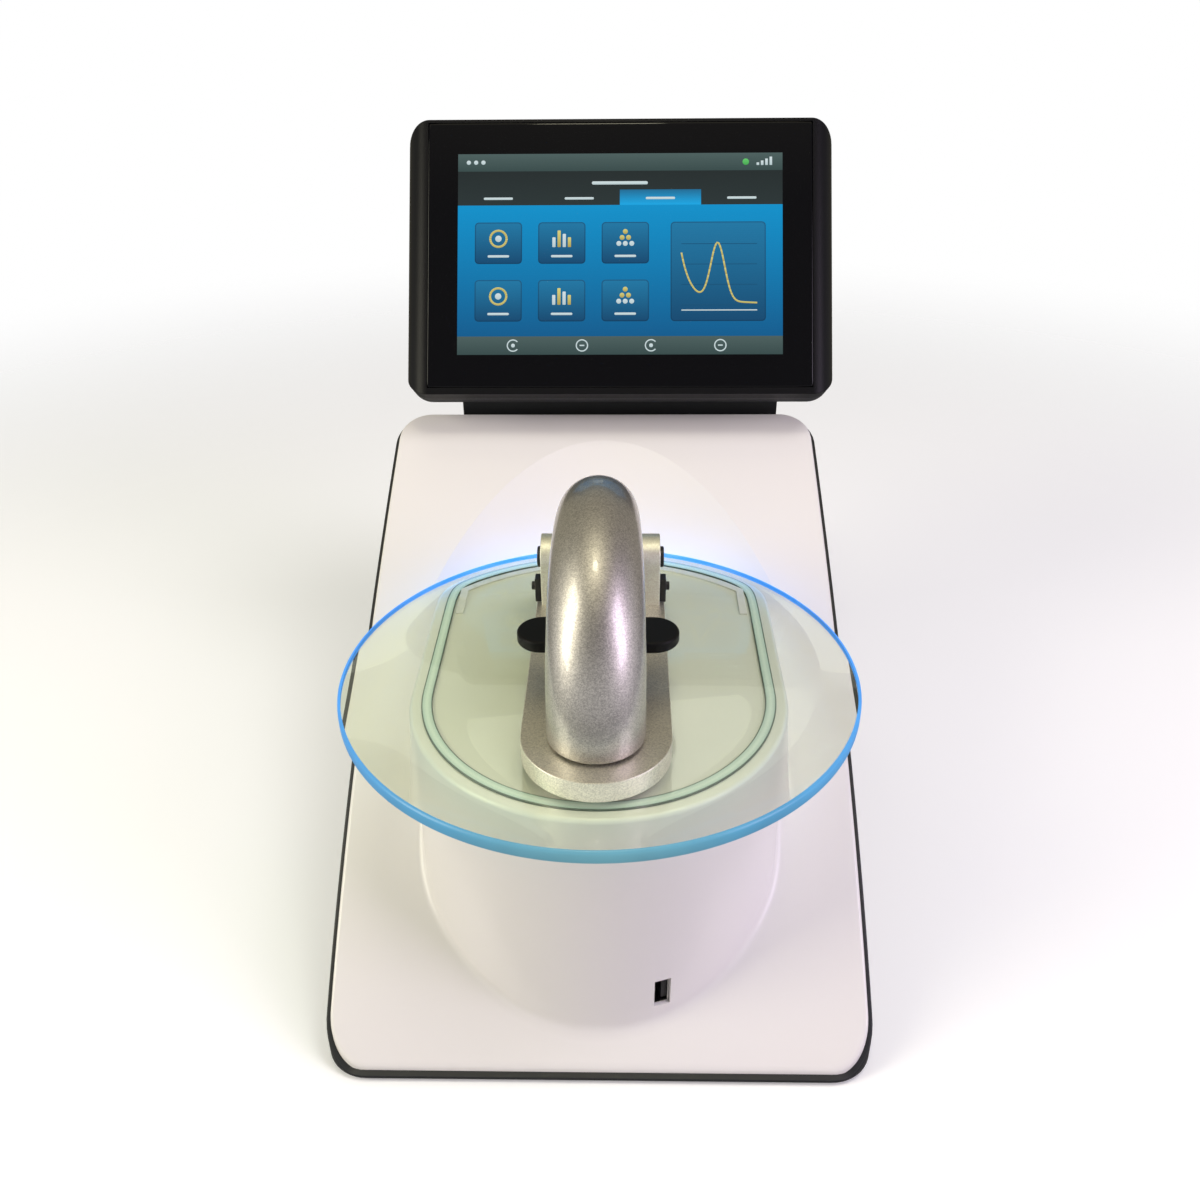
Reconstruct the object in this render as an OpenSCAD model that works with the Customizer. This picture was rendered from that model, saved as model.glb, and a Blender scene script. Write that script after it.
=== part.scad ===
// Microvolume spectrophotometer: a wedge-shaped bench instrument with a round glass table,
// a lifting sample arm and a touch display that slides and tilts.
// Millimetres. The origin is the centre of the flat underside, X to the right, Y to the back, Z up.

/* [Base] */
// Width of the black base
base_w = 200; // [190:1:215]
// Depth of the black base, front to back
base_d = 256; // [250:1:266]
// Corner radius of the base in plan
base_r = 16; // [10:1:20]
// Wall of the base frame
base_wall = 2.5; // [2:0.1:3.5]
// Depth of the solid front nose of the base frame
nose_d = 18; // [14:1:24]
// Thickness of the floor plate
floor_t = 2; // [1.5:0.1:3]
// Diameter of each rubber foot
foot_d = 18; // [12:1:24]
// How far the feet stand out below the underside
foot_h = 1.5; // [1:0.1:4]
// Gap around the floor plate in its frame
floor_gap = 0.3; // [0.1:0.1:0.8]

/* [Cover] */
// Rim of the base that shows around the cover
rim_w = 1.8; // [1:0.1:3]
// Thickness of the cover, measured upright
cover_t = 3; // [2.5:0.1:3.5]
// Height of the cover at its front edge
front_h = 4.5; // [4.2:0.1:7]
// How far the cover's rear edge stands above the column's flat top
rear_rise = 39.5; // [34:0.5:46]
// Slope of the cover at its front edge, in degrees
front_slope = 45; // [42:0.5:48]
// Slope of the cover at its rear edge, in degrees
rear_slope = 23.3; // [20:0.1:26]

/* [Column] */
// Height of the flat top of the column
deck_h = 116; // [112:0.5:120]
// Width of the column
column_w = 136; // [130:1:140]
// Wall of the column
column_wall = 3; // [2.5:0.1:4]
// How far the column's top stands back from the front of the base
column_back = 6.6; // [5:0.1:9]
// How much further back the column stands at its foot
column_lean = 5.3; // [3:0.1:7]
// How much larger the column's front radius is at the foot than at the top
column_foot_swell = 8; // [4:1:16]
// How much smaller the column's rear radius is than the glass table's
column_rear_inset = 2; // [1:0.5:5]

/* [Scoop] */
// Radius of the hollow behind the column
scoop_r = 220; // [200:5:240]
// Fall of the hollow towards the front, in degrees
scoop_slope = 34; // [31:0.5:36]
// How far the hollow starts ahead of the cover's rear edge
scoop_inset = 16.7; // [14:0.5:20]
// How far behind the column's rear corners the hollow ends
scoop_gap = 11; // [8:0.5:14]

/* [Glass table] */
// Diameter of the glass
glass_d = 190; // [184:1:196]
// Thickness of the glass
glass_t = 5; // [4:0.5:6]
// How far the glass's centre stands behind the front of the column's top
glass_back = 77.4; // [74:0.2:80]
// Width of the gasket band
gasket_w = 4; // [3:0.1:5]
// Thickness of the gasket under the glass
gasket_t = 0.8; // [0.5:0.1:1.5]
// Flat rim of the column outside the gasket
gasket_rim = 4.2; // [3:0.1:5]

/* [Pedestal plate] */
// Width of the plate that carries the arm
plate_w = 50; // [48:0.5:54]
// Thickness of the plate
plate_t = 7.7; // [6.5:0.1:9]
// Length of the plate
plate_l = 130; // [126:1:136]
// How far the plate's front stands back from the column's front edge
plate_back = 4.4; // [4:0.1:6]
// Corner radius at the rear of the plate
plate_rear_r = 6; // [3:0.5:8]
// Width of the service slot through glass and deck
slot_w = 20; // [19:0.5:22]
// Radius of the screws that clamp the plate from below
plate_screw_r = 2; // [1.5:0.1:2.5]

/* [Arm] */
// Radius of the arm's round front leg
leg_r = 16.3; // [15:0.1:17.5]
// Radius of the arm at its rear end
arm_rear_r = 9.5; // [8:0.1:10.5]
// How slowly the arm grows thinner towards the rear
arm_taper = 2.2; // [1.6:0.1:3]
// Wall of the arm casting
arm_wall = 2.4; // [2:0.1:3]
// Gap between the closed arm and the plate
arm_gap = 1; // [0.8:0.1:1.4]
// Height of the centre of the arch above the plate
arch_rise = 5; // [3:0.5:7]
// Height of the arm's flat belly above the plate
belly_rise = 19; // [18:0.5:21]
// Thickness of the belly cover
belly_t = 2.5; // [2:0.1:3.5]
// Span of the finger wings
wing_span = 57; // [52:0.5:62]
// Depth of the finger wings, front to back
wing_d = 18; // [15:0.5:20]
// Thickness of the finger wings
wing_t = 4.5; // [3.5:0.1:5]

/* [Hinge] */
// Height of the hinge axis above the plate
hinge_rise = 17; // [16.5:0.1:18]
// Radius of the hinge block's round top
hinge_r = 9; // [8.5:0.1:10]
// Width of the hinge block
hinge_w = 46; // [44:0.5:48]
// Width of the arm's knuckle
knuckle_w = 25.4; // [24:0.1:27]
// Side gap between the knuckle and each ear
knuckle_gap = 0.3; // [0.2:0.05:0.5]
// Radius of the hinge pin
hinge_pin_r = 3.5; // [3:0.1:4]
// Running clearance of pins in their bores
pin_clear = 0.05; // [0.03:0.01:0.08]

/* [Sample station] */
// Radius of the steel pedestals
pedestal_r = 2.5; // [2:0.1:3]
// Radius of the black bushing around each pedestal
bushing_r = 6.5; // [5.5:0.1:7.5]
// Gap between the two pedestals when the arm is down
sample_gap = 0.5; // [0.4:0.05:0.8]
// Radius of the pin that sets the path length
path_pin_r = 1.5; // [1.2:0.1:2]
// Inner width of the cuvette well
well_w = 12.8; // [12.6:0.1:13]
// Depth of the cuvette well
well_d = 38; // [35:0.5:40]
// Wall of the cuvette holder
well_wall = 2.6; // [2:0.1:3]

/* [Front port] */
// Height of the front port's metal shell
port_h = 13.1; // [12:0.1:14]
// Width of the front port's metal shell
port_w = 5.7; // [5:0.1:6.5]
// Depth of the ports
port_depth = 14; // [12:0.5:16]
// Wall of the port shells
port_wall = 0.5; // [0.4:0.05:0.7]
// Angle of the front port around the column, in degrees
port_angle = 17.4; // [14:0.1:20]
// Height of the front port's centre
port_z = 30.4; // [29:0.1:34]

/* [Display] */
// Width of the black border at each side of the picture
border_w = 24.6; // [22:0.1:28]
// Height of the black border above and below the picture
border_h = 17.4; // [15:0.1:20]
// Thickness of the display
display_t = 18; // [17.5:0.5:20]
// Corner radius of the display's outline
display_r = 11; // [8:0.5:13]
// Radius of the rounded shoulders at the display's sides
shoulder_r = 11; // [9:0.5:12]
// Radius of the display's rear edges
display_back_r = 6; // [4:0.5:7]
// Wall of the display housing
display_wall = 2.2; // [1.8:0.1:3]
// Thickness of the front glass of the display
screen_glass_t = 1.8; // [1.2:0.1:2.5]
// Gap between the front glass and its frame
screen_gap = 0.2; // [0.1:0.05:0.3]
// Width of the picture area
picture_w = 150.8; // [145:0.1:154]
// Height of the picture area
picture_h = 94.2; // [90:0.1:98]
// How far the picture sits above the middle of the display
picture_up = 1; // [0:0.1:2]
// Thickness of the picture panel
panel_t = 4; // [3:0.1:5]
// Lean of the display from upright, in degrees
lean = 32.6; // [28:0.1:36]
// How far the display is slid to the right of the middle
slide_x = 7; // [-20:0.5:20]

/* [Display mount] */
// Distance of the tilt axis behind the rear edge of the base
tilt_back = 16; // [15:0.5:19]
// Height of the tilt axis above the cover's rear edge
tilt_rise = 22.2; // [20:0.1:25]
// Distance from the screen's face back to the tilt axis
tilt_depth = 28; // [27:0.5:31]
// Distance of the tilt axis below the middle of the display
tilt_low = 40; // [36:0.5:44]
// Radius of the tilt barrel
tilt_r = 6; // [5:0.1:6.5]
// Radius of the tilt pin
tilt_pin_r = 3; // [2.5:0.1:3.5]
// Width of the black carriage
carriage_w = 154; // [148:1:158]
// Width of the carriage's tilt barrel
barrel_w = 90; // [80:1:100]
// Running clearance of the carriage on its rail
slide_clear = 0.3; // [0.2:0.05:0.4]
// Length of the slide rail
rail_l = 194; // [188:1:196]
// Height of the rail's head
rail_h = 16; // [14:0.5:18]
// Thickness of the rail's head and of its foot
rail_t = 3; // [2.5:0.1:3.5]
// Distance of the rail's middle below the cover's rear edge
rail_drop = 19; // [17:0.5:22]

/* [Rear ports] */
// Width of the rear connector panel
rear_panel_w = 130; // [126:1:136]
// Height of the rear connector panel
rear_panel_h = 34; // [32:0.5:40]
// Radius of the power button
button_r = 6; // [5:0.1:7]
// Travel of the power button
button_travel = 1.5; // [1:0.1:2]
// Side gap around the power button
button_gap = 0.25; // [0.15:0.05:0.35]

/* [Hidden] */
$fn = 96;
eps = 0.01;
skin_fn = 32;
core_fn = 20;

// Plan of the cover and the places that follow from it
cover_w = base_w - 2 * rim_w;
cover_d = base_d - 2 * rim_w;
cover_r = base_r - rim_w;
front_y = -base_d / 2;
rear_y = base_d / 2;
cover_front_y = front_y + rim_w;
cover_rear_y = rear_y - rim_w;
rear_h = deck_h + rear_rise;

// The cover's side profile is one curve whose two end tangents meet at the knee
knee_y = (rear_h - front_h + cover_front_y * tan(front_slope) - cover_rear_y * tan(rear_slope))
    / (tan(front_slope) - tan(rear_slope));
knee_z = front_h + (knee_y - cover_front_y) * tan(front_slope);
function curve_y(t) = (1 - t) * (1 - t) * cover_front_y + 2 * t * (1 - t) * knee_y + t * t * cover_rear_y;
function curve_z(t) = (1 - t) * (1 - t) * front_h + 2 * t * (1 - t) * knee_z + t * t * rear_h;
curve_a = cover_front_y - 2 * knee_y + cover_rear_y;
curve_b = 2 * (knee_y - cover_front_y);
function curve_t(y) = (sqrt(curve_b * curve_b + 4 * curve_a * (y - cover_front_y)) - curve_b) / (2 * curve_a);
function cover_z(y) = curve_z(curve_t(y));
curve_steps = 24;
front_steps = 32;
rear_steps = 16;

// Column, glass and hinge places, from front to back
column_r = column_w / 2;
column_foot_r = column_r + column_foot_swell;
column_y = front_y + column_back + column_r;
glass_y = front_y + column_back + glass_back;
glass_r = glass_d / 2;
column_rear_r = glass_r - column_rear_inset;
glass_z = deck_h + gasket_t;
glass_top = glass_z + glass_t;
gasket_r = column_r - gasket_rim;
corner_y = glass_y + sqrt(column_rear_r * column_rear_r - column_r * column_r);
scoop_y = corner_y + scoop_gap;
scoop_top_y = cover_rear_y - scoop_inset;
plate_r = plate_w / 2;
plate_y = front_y + column_back + plate_back + plate_r;
plate_rear_y = plate_y - plate_r + plate_l;
plate_top = glass_top + plate_t;
hinge_y = plate_rear_y - hinge_r - 6;
hinge_z = plate_top + hinge_rise;
leg_y = plate_y - 1;
leg_z = plate_top + arm_gap;
arm_rear_y = hinge_y + 3;
arch_r = (arm_rear_y - leg_y) / 2;
arch_y = (arm_rear_y + leg_y) / 2;
arch_z = plate_top + arch_rise;
belly_z = plate_top + belly_rise;
belly_front_y = leg_y + leg_r + 0.5;
belly_rear_y = hinge_y - hinge_r - 4;
wing_y = leg_y + 0.3 * plate_l;
ear_inner = knuckle_w / 2 + knuckle_gap;
ear_w = hinge_w / 2 - ear_inner;
ear_mid_x = ear_inner + ear_w / 2;
clip_t = 2.4;
clip_d = 5;
clip_h = 10;
clip_back = 0.4;
clip_rise = 1.5;
knob_r = 1.7;
knob_l = 3.8;

// Deck plate, posts and what hangs below the deck
deck_t = 3;
deck_z = deck_h - column_wall - deck_t;
deck_r = column_r - column_wall - 4;
deck_rear_y = corner_y - 15.4;
post_r = 4;
post_x = deck_r - post_r - 4;
post_ys = [column_y - 0.39 * column_r, deck_rear_y - 6.5 * post_r];
slot_front_y = leg_y - slot_w / 2;
well_y = wing_y;
slot_rear_y = well_y + well_w / 2 + well_wall + 1.5;
plate_screw_x = plate_r - plate_screw_r - 5;
plate_screw_ys = [plate_y + 2, hinge_y + 2];
path_pin_y = leg_y + 11;
path_travel = 1;
path_pin_top = leg_z - 0.3;
motor_r = 6.5;
motor_h = 24;
motor_top = deck_z - 2;
motor_z = motor_top - motor_h;
fibre_r = 1.6;
fibre_bend_r = 25;
fibre_low_z = 26;
pedestal_low_z = deck_z - 14;
well_z = plate_top - well_d;
holder_w = well_w + 2 * well_wall;
holder_top = glass_top;
stirrer_r = 4.5;
stirrer_t = 3;
shaft_r = 1;

// Optical bench, lamp and boards on the floor
bench_w = 2 * (post_x - post_r - 9);
bench_d = 76;
bench_h = 38;
bench_wall = 3;
grating_w = 0.3 * bench_w;
bench_y = leg_y + fibre_bend_r + 6;
case_gap = 5;
lamp_w = base_w / 2 - base_wall - 2 * case_gap - bench_w / 2 - case_gap - 0.5;
lamp_d = 50;
lamp_h = 46;
lamp_wall = 3;
lamp_x = bench_w / 2 + case_gap + lamp_w / 2;
lamp_y = post_ys[1] + post_r + 2 + lamp_d / 2;
bulb_r = lamp_w * 0.19;
socket_r = lamp_w * 0.28;
board_inset = 25;
board_w = base_w - 2 * board_inset;
board_d = 64;
board_t = 1.6;
board_z = 8;
board_rear_y = rear_y - base_wall - 1;
board_y = board_rear_y - board_d;
standoff_r = 3;
floor_inset = base_wall + floor_gap;
floor_front_y = front_y + nose_d;
floor_screw_r = 1.6;
screw_head_r = 2.8;
screw_head_t = 0.9;
foot_collar_t = 1.5;
floor_screw_x = base_w / 2 - floor_inset - 9;
floor_screw_ys = [floor_front_y + 8, rear_y - floor_inset - 12];
boss_r = 4;
foot_x = base_w / 2 - 24;
foot_ys = [floor_front_y + foot_d / 2 + 14, rear_y - floor_inset - foot_d / 2 - 16];

// Rear panel and its connectors
panel_z = board_z - 3;
panel_plate_t = 1.5;
usb_w = port_h;
usb_h = port_w;
port_floor_z = board_z + board_t;
usb_xs = [-52, -34];
jack_x = -8;
jack_w = 16;
jack_h = 13.5;
jack_depth = 18;
jack_hole_w = 11.7;
jack_hole_h = 8;
inlet_x = 20;
inlet_w = 10;
inlet_h = 11;
inlet_r = 3.2;
inlet_pin_r = 1;
inlet_depth = 10;
button_x = 46;
button_z = panel_z + rear_panel_h / 2;
button_proud = 2.5;
button_flange = 1.5;
guide_l = button_flange + button_travel + 5;

// Front port, in the frame turned about the centre of the column's foot
foot_round_y = front_y + column_back + column_lean + column_foot_r;
port_face = column_foot_r + column_lean * port_z / deck_h - 1.6;
port_clear = 0.2;
tongue_t = 2.1;
tongue_gap = 0.6;

// Display frame: x across, y back from the screen's face, z up the screen
display_w = picture_w + 2 * border_w;
display_h = picture_h + 2 * border_h;
board_h = 0.75 * picture_h;
board_across = 0.8 * picture_w;
tilt_y = rear_y + tilt_back;
tilt_z = rear_h + tilt_rise;
frame_t = 8;
recess_w = display_w - 2 * shoulder_r + 0.6;
recess_h = display_h - 5;
recess_up = 0.8;
ear_gap = 0.3;
tilt_ear_w = 6;
tilt_ear_x = barrel_w / 2 + ear_gap;
bracket_t = 2.5;
bracket_h = 44;

// Rail and carriage, in side view
rail_z = rear_h - rail_drop;
rail_foot_h = rail_h / 2;
rail_screw_r = 2.5;
rail_screw_xs = [for (i = [-1.5:1.5]) i * rail_l / 4];
head_y = rear_y + rail_t;
carriage_y = head_y + rail_t + slide_clear;
carriage_t = 3.5;
flange_t = 3;
neck_z = rear_h + 7;

// Plan outlines
module round_rect(w, d, r) {
    translate([-w / 2 + r, -d / 2]) square([w - 2 * r, d]);
    translate([-w / 2, -d / 2 + r]) square([w, d - 2 * r]);
    for (x = [-w / 2 + r, w / 2 - r], y = [-d / 2 + r, d / 2 - r]) translate([x, y]) circle(r);
}

module column_outline(front_r, front_at, side, rear_r) {
    round_y = front_at + front_r;
    intersection() {
        union() {
            translate([0, round_y]) circle(front_r);
            translate([-side, round_y]) square([2 * side, base_d]);
        }
        translate([-side, front_at]) square([2 * side, base_d]);
        translate([0, glass_y]) circle(rear_r);
    }
}

module plate_outline(grow) {
    translate([0, plate_y]) circle(plate_r + grow);
    half = plate_r + grow;
    r = plate_rear_r + grow;
    translate([-half, plate_y]) square([2 * half, plate_rear_y - plate_y - plate_rear_r]);
    translate([-half + r, plate_y]) square([2 * half - 2 * r, plate_rear_y + grow - plate_y]);
    for (s = [-1, 1]) translate([s * (half - r), plate_rear_y + grow - r]) circle(r);
}

module slot_outline() {
    translate([0, leg_y]) circle(slot_w / 2);
    translate([-slot_w / 2, leg_y]) square([slot_w, slot_rear_y - leg_y]);
}

module plate_screw_holes(z0, z1, r) {
    for (s = [-1, 1], y = plate_screw_ys)
        translate([s * plate_screw_x, y, z0]) cylinder(h = z1 - z0, r = r);
}

// Solid below the cover's side profile, lowered by drop
module under_cover(drop, width) {
    points = [for (i = [0:curve_steps]) [curve_y(i / curve_steps), curve_z(i / curve_steps) - drop]];
    ends = [
        [rear_y + 1, rear_h - drop + (rim_w + 1) * tan(rear_slope)],
        [rear_y + 1, -base_d],
        [front_y - 1, -base_d],
        [front_y - 1, front_h - drop - (rim_w + 1) * tan(front_slope)]
    ];
    translate([-width / 2, 0, 0]) rotate([90, 0, 90])
        linear_extrude(width) polygon(concat(points, ends));
}

// Hollow behind the column: a leaning round trough, grown by extra
module scoop(extra) {
    intersection() {
        translate([0, scoop_top_y, cover_z(scoop_top_y)]) rotate([scoop_slope, 0, 0])
            translate([0, -base_d, scoop_r]) rotate([-90, 0, 0])
                cylinder(h = 2 * base_d, r = scoop_r + extra, $fn = 360);
        translate([-base_w, scoop_y - extra, 0]) cube([2 * base_w, base_d, 2 * base_d]);
    }
}

// The column is lofted between its plan at the foot and its plan at the top
function column_ring(front_r, front_at, side, rear_r, z) = let (
    front_half = asin(side / front_r),
    rear_half = asin(side / rear_r)
) concat(
    [for (i = [0:front_steps]) let (a = front_half * (2 * i / front_steps - 1))
        [front_r * sin(a), front_at + front_r - front_r * cos(a), z]],
    [for (i = [0:rear_steps]) let (a = rear_half * (1 - 2 * i / rear_steps))
        [rear_r * sin(a), glass_y + rear_r * cos(a), z]]
);

module column_solid(inset, z1) {
    low = column_ring(column_foot_r - inset, front_y + column_back + column_lean + inset,
        column_r - inset, column_rear_r - inset, 0);
    high = column_ring(column_r - inset, front_y + column_back + inset,
        column_r - inset, column_rear_r - inset, z1);
    n = len(low);
    sides = [for (i = [0:n - 1]) let (j = (i + 1) % n) each [[i, n + i, n + j], [i, n + j, j]]];
    polyhedron(concat(low, high), concat([[for (i = [0:n - 1]) i], [for (i = [n - 1:-1:0]) n + i]], sides));
}

// Base
module base_frame() {
    color("#17181a") difference() {
        intersection() {
            linear_extrude(rear_h + base_wall) round_rect(base_w, base_d, base_r);
            union() {
                under_cover(cover_t, base_w);
                translate([-base_w / 2, front_y, 0]) cube([base_w, nose_d / 2, front_h - cover_t]);
            }
        }
        translate([0, (floor_front_y - front_y - base_wall) / 2, -1]) linear_extrude(rear_h + base_wall)
            round_rect(base_w - 2 * base_wall, base_d - base_wall - floor_front_y + front_y,
                base_r - base_wall);
        translate([-rear_panel_w / 2, rear_y - base_wall - 1, panel_z])
            cube([rear_panel_w, base_wall + 2, rear_panel_h]);
    }
    color("#17181a") for (s = [-1, 1], y = floor_screw_ys)
        translate([s * floor_screw_x, y, floor_t]) difference() {
            union() {
                cylinder(h = boss_h(y), r = boss_r);
                translate([s > 0 ? 0 : -boss_reach, -1, 0]) cube([boss_reach, 2, boss_h(y)]);
            }
            translate([0, 0, -1]) cylinder(h = 7, r = floor_screw_r);
        }
}
boss_reach = base_w / 2 - base_wall - floor_screw_x + eps;
function boss_h(y) = min(cover_z(y - boss_r) - cover_t - floor_t - 1, 12);

module floor_plate() {
    color("#2a2c2f") difference() {
        translate([0, (floor_front_y - front_y - floor_inset) / 2, 0]) linear_extrude(floor_t)
            round_rect(base_w - 2 * floor_inset, base_d - floor_inset - (floor_front_y - front_y),
                base_r - floor_inset);
        for (s = [-1, 1], y = floor_screw_ys)
            translate([s * floor_screw_x, y, -1]) {
                cylinder(h = floor_t + 2, r = floor_screw_r + 0.2);
                cylinder(h = screw_head_t + 1.1, r = screw_head_r + 0.3);
            }
        for (s = [-1, 1], y = foot_ys)
            translate([s * foot_x, y, -1]) cylinder(h = floor_t + 2, r = foot_d / 2 + 0.2);
    }
}

module rubber_feet() {
    color("#101010") for (s = [-1, 1], y = foot_ys)
        translate([s * foot_x, y, 0]) {
            translate([0, 0, -foot_h]) cylinder(h = foot_h + floor_t, r = foot_d / 2);
            translate([0, 0, floor_t]) cylinder(h = foot_collar_t, r = foot_d / 2 + 2.5);
        }
}

module floor_screws() {
    color("silver") for (s = [-1, 1], y = floor_screw_ys) translate([s * floor_screw_x, y, 0]) {
        cylinder(h = screw_head_t, r = screw_head_r);
        cylinder(h = floor_t + 5, r = floor_screw_r);
    }
}

// Cover with its column, in one moulding: the outer form less the hollow under it
module top_cover() {
    color("#f2f0ee") difference() {
        union() {
            difference() {
                intersection() {
                    linear_extrude(2 * rear_h) round_rect(cover_w, cover_d, cover_r);
                    under_cover(0, base_w);
                }
                scoop(0);
            }
            column_solid(0, deck_h);
        }
        difference() {
            under_cover(cover_t, 2 * base_w);
            scoop(cover_t);
        }
        column_solid(column_wall, deck_h - column_wall);
        slot_cut(deck_h - column_wall - 1, deck_h + 1);
        plate_screw_holes(deck_h - column_wall - 1, deck_h + 1, plate_screw_r + 0.3);
        port_cut();
    }
}

module slot_cut(z0, z1) {
    translate([0, 0, z0]) linear_extrude(z1 - z0) slot_outline();
}

module in_port_frame() {
    translate([0, foot_round_y, port_z]) rotate([0, 0, port_angle]) translate([0, -port_face, 0]) children();
}

module port_cut() {
    in_port_frame() translate([-port_w / 2 - port_clear, -10, -port_h / 2 - port_clear])
        cube([port_w + 2 * port_clear, 20, port_h + 2 * port_clear]);
}

module deck_posts() {
    color("silver") for (s = [-1, 1], y = post_ys)
        translate([s * post_x, y, floor_t]) cylinder(h = deck_z - floor_t, r = post_r);
}

module deck_plate() {
    color("#b9bcc0") difference() {
        translate([0, 0, deck_z]) linear_extrude(deck_t) {
            translate([0, column_y]) circle(deck_r);
            translate([-deck_r, column_y]) square([2 * deck_r, deck_rear_y - column_y]);
        }
        slot_cut(deck_z - 1, deck_h);
        plate_screw_holes(deck_z - 1, deck_h, plate_screw_r + 0.3);
    }
}

// Glass table
module gasket_outline(r) {
    column_outline(r, column_y - r, r, column_rear_r - (column_r - r) + 2);
}

module glass_gasket() {
    color("#cfe0dc") translate([0, 0, deck_h]) linear_extrude(gasket_t) difference() {
        gasket_outline(gasket_r);
        gasket_outline(gasket_r - gasket_w);
    }
}

module light_strip() {
    color("#d8e8ff") translate([0, 0, deck_h]) linear_extrude(gasket_t) intersection() {
        difference() {
            gasket_outline(gasket_r - gasket_w - 1);
            gasket_outline(gasket_r - gasket_w - 4);
        }
        translate([-gasket_r, corner_y - 20]) square([2 * gasket_r, base_d]);
    }
}

module glass_table() {
    color("#cfe6f2", 0.35) difference() {
        translate([0, glass_y, glass_z]) cylinder(h = glass_t, r = glass_r);
        slot_cut(glass_z - 1, glass_top + 1);
        plate_screw_holes(glass_z - 1, glass_top + 1, plate_screw_r + 0.3);
    }
}

// Pedestal plate and hinge
module pedestal_plate() {
    color("#c9c6bf") difference() {
        translate([0, 0, glass_top]) linear_extrude(plate_t) plate_outline(0);
        translate([0, leg_y, glass_top - 1]) cylinder(h = plate_t + 2, r = bushing_r);
        translate([0, path_pin_y, glass_top - 1]) cylinder(h = plate_t + 2, r = path_pin_r + pin_clear);
        translate([-well_w / 2, well_y - well_w / 2, glass_top - 1]) cube([well_w, well_w, plate_t + 2]);
        plate_screw_holes(glass_top - 1, glass_top + plate_t - 2, plate_screw_r);
    }
}

module plate_screws() {
    color("silver") {
        plate_screw_holes(deck_z, glass_top + plate_t - 2, plate_screw_r);
        plate_screw_holes(deck_z - 2.5, deck_z, plate_screw_r + 1.8);
    }
}

module hinge_side() {
    translate([hinge_y, hinge_z]) circle(hinge_r);
    translate([hinge_y - hinge_r, plate_top]) square([2 * hinge_r, hinge_rise]);
}

module hinge_block() {
    color("#cdc8bd") difference() {
        union() {
            for (x = [-hinge_w / 2, ear_inner])
                translate([x, 0, 0]) rotate([90, 0, 90]) linear_extrude(ear_w) hinge_side();
            translate([-ear_inner, hinge_y - hinge_r, plate_top]) cube([2 * ear_inner, 2 * hinge_r, 3]);
        }
        translate([-hinge_w, hinge_y, hinge_z]) rotate([0, 90, 0])
            cylinder(h = 2 * hinge_w, r = hinge_pin_r);
    }
}

module hinge_pin() {
    color("silver") translate([-hinge_w / 2, hinge_y, hinge_z]) rotate([0, 90, 0])
        cylinder(h = hinge_w, r = hinge_pin_r);
}

module pin_caps() {
    color("#2c2c2c") for (s = [-1, 1]) translate([s * (hinge_w / 2 + 0.8), hinge_y, hinge_z])
        rotate([0, 90, 0]) cylinder(h = 1.6, r = hinge_pin_r + 0.6, center = true);
}

module stop_clips() {
    color("#141414") for (s = [-1, 1])
        translate([s * (hinge_w + clip_t) / 2, hinge_y - hinge_r + clip_back, plate_top + clip_rise]) {
            translate([-clip_t / 2, 0, 0]) cube([clip_t, clip_d, clip_h]);
            translate([s * (knob_l - clip_t) / 2, clip_d / 2, 0.6 * clip_h]) rotate([0, 90, 0])
                cylinder(h = knob_l, r = knob_r, center = true);
        }
}

// Sample station below the plate
module lower_bushing() {
    color("#161616") translate([0, leg_y, deck_z - 6]) difference() {
        cylinder(h = plate_top + 0.2 - deck_z + 6, r = bushing_r);
        translate([0, 0, -1]) cylinder(h = plate_top, r = pedestal_r);
    }
}

module lower_pedestal() {
    color("silver") translate([0, leg_y, pedestal_low_z])
        cylinder(h = leg_z - sample_gap / 2 - pedestal_low_z, r = pedestal_r);
}

module path_motor() {
    color("#3a3d42") {
        difference() {
            translate([0, path_pin_y + 3, motor_z]) cylinder(h = motor_top - motor_z, r = motor_r);
            translate([0, path_pin_y, motor_z + 4]) cylinder(h = motor_top, r = path_pin_r + pin_clear);
        }
        for (s = [-1, 1]) translate([s > 0 ? slot_w / 2 - 4 : -slot_w / 2 - 4, path_pin_y + 1, motor_top - 2])
            cube([8, 6, 4]);
    }
}

module path_pin() {
    color("silver") translate([0, path_pin_y, motor_z + 4 + path_travel + 0.3])
        cylinder(h = path_pin_top - motor_z - 4 - path_travel - 0.3, r = path_pin_r);
}

module cuvette_holder() {
    color("#202225") difference() {
        union() {
            translate([-holder_w / 2, well_y - holder_w / 2, well_z - 3])
                cube([holder_w, holder_w, holder_top - well_z + 3]);
            translate([-slot_w / 2 - 5, well_y - holder_w / 2, deck_z - 3]) cube([slot_w + 10, holder_w, 3]);
        }
        translate([-well_w / 2, well_y - well_w / 2, well_z]) cube([well_w, well_w, well_d]);
        translate([0, well_y, well_z + 12]) rotate([0, 90, 0]) cylinder(h = 2 * holder_w, r = 2, center = true);
    }
}

module stirrer_motor() {
    color("#44474c") translate([0, well_y, well_z - 3]) difference() {
        translate([0, 0, -16]) cylinder(h = 16, r = holder_w / 2 - 1);
        translate([0, 0, -stirrer_t - 1]) cylinder(h = stirrer_t + 2, r = stirrer_r + 0.5);
        translate([0, 0, -12]) cylinder(h = 12, r = shaft_r + pin_clear);
    }
}

module stirrer_magnet() {
    color("#8d9096") translate([0, well_y, well_z - 3]) {
        translate([0, 0, -stirrer_t - 0.5]) cylinder(h = stirrer_t, r = stirrer_r);
        translate([0, 0, -11.5]) cylinder(h = 8.5, r = shaft_r);
    }
}

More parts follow.
